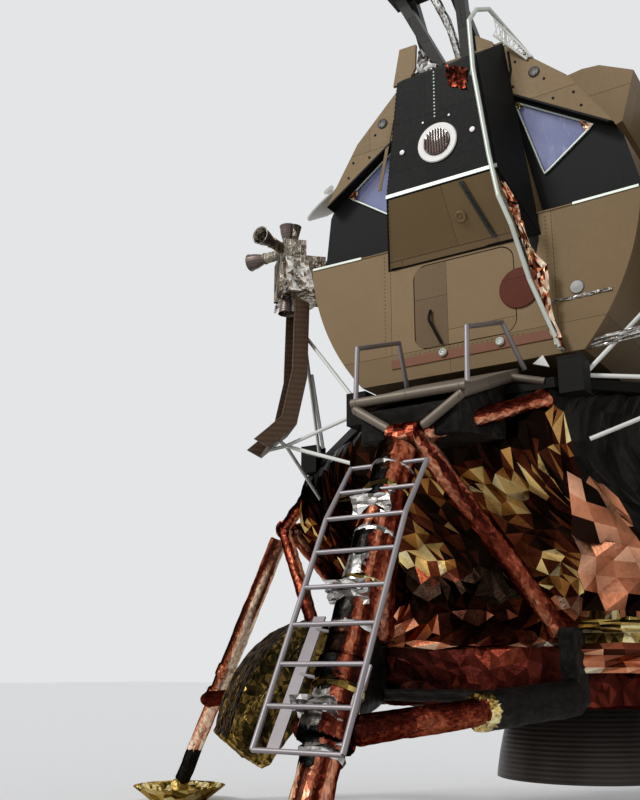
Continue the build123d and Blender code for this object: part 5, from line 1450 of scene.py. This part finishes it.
def plate_finish(name, base, other, roughness, metallic, wide, high, shift=0.0, seam_dark=0.35, gloss=0.35):
    """Riveted plates between two tones."""
    material, tree, shader = new_finish(name, Metallic=metallic, Specular_IOR_Level=gloss)
    plate = place_group(tree, plates, Wide=wide, High=high, Shift=shift)
    dirt = place_group(tree, grime, Scale=1.0)
    worn = place_group(tree, scuffs, Scale=0.6, Amount=0.2)
    tone = plus(tree, times(tree, plate["Tone"], 0.55), times(tree, dirt["Stain"], 0.6), clamp=True)
    colour = blend(tree, tone, base, other)
    colour = blend(tree, times(tree, worn["Mask"], 0.35), colour, lighter(other, 2.2))
    colour = blend(tree, times(tree, plate["Seam"], 0.85), colour, lighter(base, seam_dark))
    colour = blend(tree, times(tree, plate["Rivet"], 0.5), colour, lighter(other, 1.7))
    tree.links.new(colour, shader.inputs["Base Color"])
    tree.links.new(span(tree, dirt["Speck"], roughness - 0.1, roughness + 0.12), shader.inputs["Roughness"])
    height = math_node(tree, "SUBTRACT", times(tree, plate["Rivet"], 0.6), plate["Seam"])
    height = plus(tree, height, times(tree, dirt["Stain"], 1.6))
    bump(tree, shader, height, 0.35, 0.006)
    return material


TAN, LIGHT_TAN = (0.125, 0.079, 0.034), (0.188, 0.126, 0.062)
finishes["tan_panel"] = plate_finish("tan plates", TAN, LIGHT_TAN, 0.5, 0.1, 0.95, 0.62, gloss=0.15)
finishes["black_panel"] = plate_finish("black plates", (0.005, 0.0047, 0.0043), (0.010, 0.0092, 0.0082),
                                       0.5, 0.0, 0.62, 0.41, 0.1, 0.7, 0.06)
finishes["porch_metal"] = plate_finish("porch plates", (0.115, 0.092, 0.070), (0.20, 0.165, 0.125),
                                       0.5, 0.5, 0.27, 0.9)
finishes["dark_metal"] = plate_finish("dark grey metal", (0.030, 0.029, 0.028), (0.060, 0.058, 0.055),
                                      0.42, 0.7, 0.22, 0.22)
print("plate finishes ready")


# %% [markdown]
# Tubes are plain worn metal. The bell was heated by its own flame, so its niobium is dark, with faint
# rings, and the deflectors are thin formed sheet with a brown heat tint.

# %% Tube, bell and deflector finishes
def worn_metal(name, base, bright, roughness, metallic, scale=1.0, amount=0.4, rings=0.0):
    """Metal with stains, scuffs and, for turned parts, fine rings round the Z axis."""
    material, tree, shader = new_finish(name, Metallic=metallic)
    dirt = place_group(tree, grime, Scale=scale)
    worn = place_group(tree, scuffs, Scale=scale, Amount=amount)
    colour = blend(tree, dirt["Stain"], base, lighter(base, 1.5))
    colour = blend(tree, times(tree, worn["Mask"], 0.6), colour, bright)
    height = plus(tree, times(tree, dirt["Speck"], 0.5), worn["Mask"])
    if rings:
        wave = node(tree, "ShaderNodeTexWave", bands_direction="Z", Scale=rings, Distortion=0.4)
        tree.links.new(object_place(tree), wave.inputs["Vector"])
        colour = blend(tree, times(tree, wave.outputs["Fac"], 0.45), colour, lighter(base, 0.45))
        height = plus(tree, height, wave.outputs["Fac"])
    tree.links.new(colour, shader.inputs["Base Color"])
    tree.links.new(span(tree, dirt["Speck"], roughness - 0.1, roughness + 0.12), shader.inputs["Roughness"])
    bump(tree, shader, height, 0.25, 0.004)
    return material


finishes["bare_tube"] = worn_metal("ladder tube", (0.20, 0.18, 0.185), (0.55, 0.54, 0.52), 0.42, 0.75, 2.0)
finishes["white_paint"] = worn_metal("white enamel", (0.50, 0.49, 0.46), (0.78, 0.77, 0.74),
                                     0.42, 0.0, 1.2, 0.15)
finishes["pale_rail"] = worn_metal("pale rail", (0.40, 0.43, 0.38), (0.70, 0.72, 0.66), 0.4, 0.3, 2.0)
finishes["deflector_metal"] = worn_metal("heat-tinted sheet", (0.085, 0.050, 0.030), (0.30, 0.19, 0.11),
                                         0.42, 0.8, 0.8, 0.3, 7.0)
finishes["bell_metal"] = worn_metal("bell metal", (0.050, 0.043, 0.038), (0.17, 0.15, 0.135),
                                    0.4, 0.8, 0.8, 0.35, 9.0)
deflector_tube_paint = worn_metal("deflector tube paint", (0.50, 0.50, 0.47), (0.75, 0.75, 0.72),
                                  0.45, 0.1, 1.5, 0.2)
thruster_bell = worn_metal("thruster bell", (0.12, 0.090, 0.078), (0.36, 0.29, 0.26),
                           0.38, 0.85, 1.2, 0.35, 14.0)
leg_tube_grey = worn_metal("fitting grey", (0.11, 0.105, 0.10), (0.34, 0.33, 0.31), 0.4, 0.8, 2.0)
print("metals ready")


# %% [markdown]
# The windows are thick panes with a streaked lilac-blue coat. Transmission is low, because the cabin
# behind them is dark, and a clear coat gives the sharp highlight.

# %% Window glass
glass, tree, shader = new_finish("coated pane", Transmission_Weight=0.12, IOR=1.5, Metallic=0.0,
                                 Coat_Weight=0.5)
streaks = place_group(tree, grime, Scale=1.6)
smears = place_group(tree, scuffs, Scale=0.35, Amount=0.8)
haze = blend(tree, streaks["Stain"], (0.11, 0.12, 0.27), (0.34, 0.37, 0.60))
smeared = blend(tree, times(tree, smears["Mask"], 0.5), haze, (0.50, 0.56, 0.72))
tree.links.new(smeared, shader.inputs["Base Color"])
tree.links.new(span(tree, streaks["Speck"], 0.04, 0.14), shader.inputs["Roughness"])
finishes["window_glass"] = glass


# %% [markdown]
# The cabin's front has tan plates outside and black paint inside the window recess. Both are on one
# solid, so the finish looks at the place: behind the front wall's plane, above the sill, and not on
# the outer skin, it is black. The docking light's lens is brown ribbed glass.

# %% Cabin finish with black recesses
def blacken(material, lowest_y, highest_y, low_z, high_z):
    """Paint a tan finish black inside a recess, leaving the outer skin alone."""
    tree = material.node_tree
    shader = tree.nodes["Principled BSDF"]
    place = node(tree, "ShaderNodeSeparateXYZ")
    tree.links.new(object_place(tree), place.inputs[0])
    facing = node(tree, "ShaderNodeSeparateXYZ")
    tree.links.new(tree.nodes.new("ShaderNodeNewGeometry").outputs["Normal"], facing.inputs[0])
    outer = times(tree, math_node(tree, "SIGN", place.outputs["X"]), facing.outputs["X"])
    mask = math_node(tree, "LESS_THAN", outer, 0.25)
    for value, low, high in ((place.outputs["Y"], lowest_y, highest_y), (place.outputs["Z"], low_z, high_z)):
        mask = times(tree, mask, math_node(tree, "GREATER_THAN", value, low))
        mask = times(tree, mask, math_node(tree, "LESS_THAN", value, high))
    tan = shader.inputs["Base Color"].links[0].from_socket
    tree.links.new(blend(tree, mask, tan, (0.008, 0.0075, 0.007)), shader.inputs["Base Color"])


cabin_skin = plate_finish("cabin plates", TAN, LIGHT_TAN, 0.5, 0.1, 1.3, 0.9, 0.12, gloss=0.15)
blacken(cabin_skin, -1.976, -1.55, 4.46, 5.56)
lens_glass, tree, shader = new_finish("ribbed brown glass", Coat_Weight=0.6, Metallic=0.0)
streaks = place_group(tree, grime, Scale=4.0)
brown = blend(tree, streaks["Stain"], (0.045, 0.022, 0.016), (0.13, 0.075, 0.055))
tree.links.new(brown, shader.inputs["Base Color"])
tree.links.new(span(tree, streaks["Speck"], 0.08, 0.25), shader.inputs["Roughness"])
disc_paint = plate_finish("dark red cover", (0.075, 0.015, 0.007), (0.105, 0.026, 0.012),
                          0.55, 0.0, 2.0, 2.0, 0.9, gloss=0.1)
shaded_tan = plate_finish("shaded tan", (0.090, 0.055, 0.024), (0.125, 0.080, 0.040),
                          0.5, 0.1, 2.0, 2.0, 0.9, gloss=0.15)
rust_paint = plate_finish("rust-brown strip", (0.115, 0.040, 0.019), (0.20, 0.082, 0.042),
                          0.5, 0.1, 1.4, 2.0, 0.5, gloss=0.2)
print("cabin finish ready")


# %% [markdown]
# ## Dressing the CAD parts
# The solid parts keep their meshes and only get materials. The imported material has the name of the
# part's slot, so one loop can hand out most finishes, and a short table has the exceptions.

# %% Materials on the solid parts
ODD_ONES = {"deflector_tubes": deflector_tube_paint, "interstage_fittings": leg_tube_grey,
            "quad_supports": leg_tube_grey, "landing_radar": finishes["white_paint"],
            "deck_corner_boxes": finishes["black_panel"], "cabin_shell": cabin_skin}
ODD_PIECES = {"light_lens": lens_glass, "hatch_disc": disc_paint, "hatch_dark_field": shaded_tan,
              "foot_strip": rust_paint, "wall_disc": leg_tube_grey}
ODD_PIECES.update({f"quad_bells_{corner}": thruster_bell for corner in CORNERS})
SOLID_FILM = {"gold_foil": pad_film, "silver_foil": quad_film, "black_blanket": black_film,
              "amber_foil": pad_film, "copper_foil": pad_film, "strut_foil": pad_film}

for name, solid in nodes.items():
    slot = solid.material_slots[0].material.name
    solid.material_slots[0].material = ODD_ONES.get(name) or SOLID_FILM.get(slot) or finishes[slot]
for piece, slot in dressed:
    if not piece.data.materials:
        piece.data.materials.append(ODD_PIECES.get(piece.name) or finishes[slot])
print(len(nodes), "solid parts and", len(dressed), "pieces have a finish")


# %% [markdown]
# ## Floor and light
# The floor is plain and pale, a flat grid far wider than the lander, so that its edge is out of sight.

# %% Floor
bpy.ops.object.select_all(action="DESELECT")
bpy.ops.mesh.primitive_grid_add(x_subdivisions=8, y_subdivisions=8, size=160, location=(0, 0, 0))
floor = bpy.context.object
floor.name = "floor"
floor_finish, tree, shader = new_finish("pale floor", Roughness=0.85)
shader.inputs["Base Color"].default_value = (0.70, 0.70, 0.70, 1)
floor.data.materials.append(floor_finish)
bake_place(floor)
floor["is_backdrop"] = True


# %% [markdown]
# A soft sun stands to the front left, above, and a pale sky fills the shadows. What the camera and the
# reflections see of the sky is a little lighter than what lights the lander: the Light Path node tells
# the two apart.

# %% Light
scene = bpy.context.scene
scene.view_settings.view_transform = "Standard"
world = bpy.data.worlds.new("studio sky")
scene.world = world
world.use_nodes = True
tree = world.node_tree
paths = tree.nodes.new("ShaderNodeLightPath")
seen = math_node(tree, "MAXIMUM", paths.outputs["Is Camera Ray"], paths.outputs["Is Glossy Ray"])
seen = math_node(tree, "MAXIMUM", seen, paths.outputs["Is Transmission Ray"])
background = tree.nodes["Background"]
background.inputs["Color"].default_value = (0.97, 0.98, 1.0, 1)
tree.links.new(span(tree, seen, 0.62, 0.80), background.inputs["Strength"])

sun_data = bpy.data.lights.new("soft sun", "SUN")
sun_data.energy = 1.9
sun_data.angle = math.radians(14)
sun = bpy.data.objects.new("soft sun", sun_data)
scene.collection.objects.link(sun)
sun.rotation_euler = Vector((0.35, 0.72, -0.60)).to_track_quat("-Z", "Y").to_euler()
print("light ready")


# %% [markdown]
# ## Compare the size
# Blender must not change the lander's size. The box of the dressed model is compared with the box of the
# solid parts, and how far it has grown along each axis is printed.

# %% Sizes
VISUAL_BOX = [list(corner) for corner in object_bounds()]
for axis in range(3):
    below, above = CAD_BOX[0][axis] - VISUAL_BOX[0][axis], VISUAL_BOX[1][axis] - CAD_BOX[1][axis]
    print("grown along axis", axis, round(below, 4), round(above, 4))
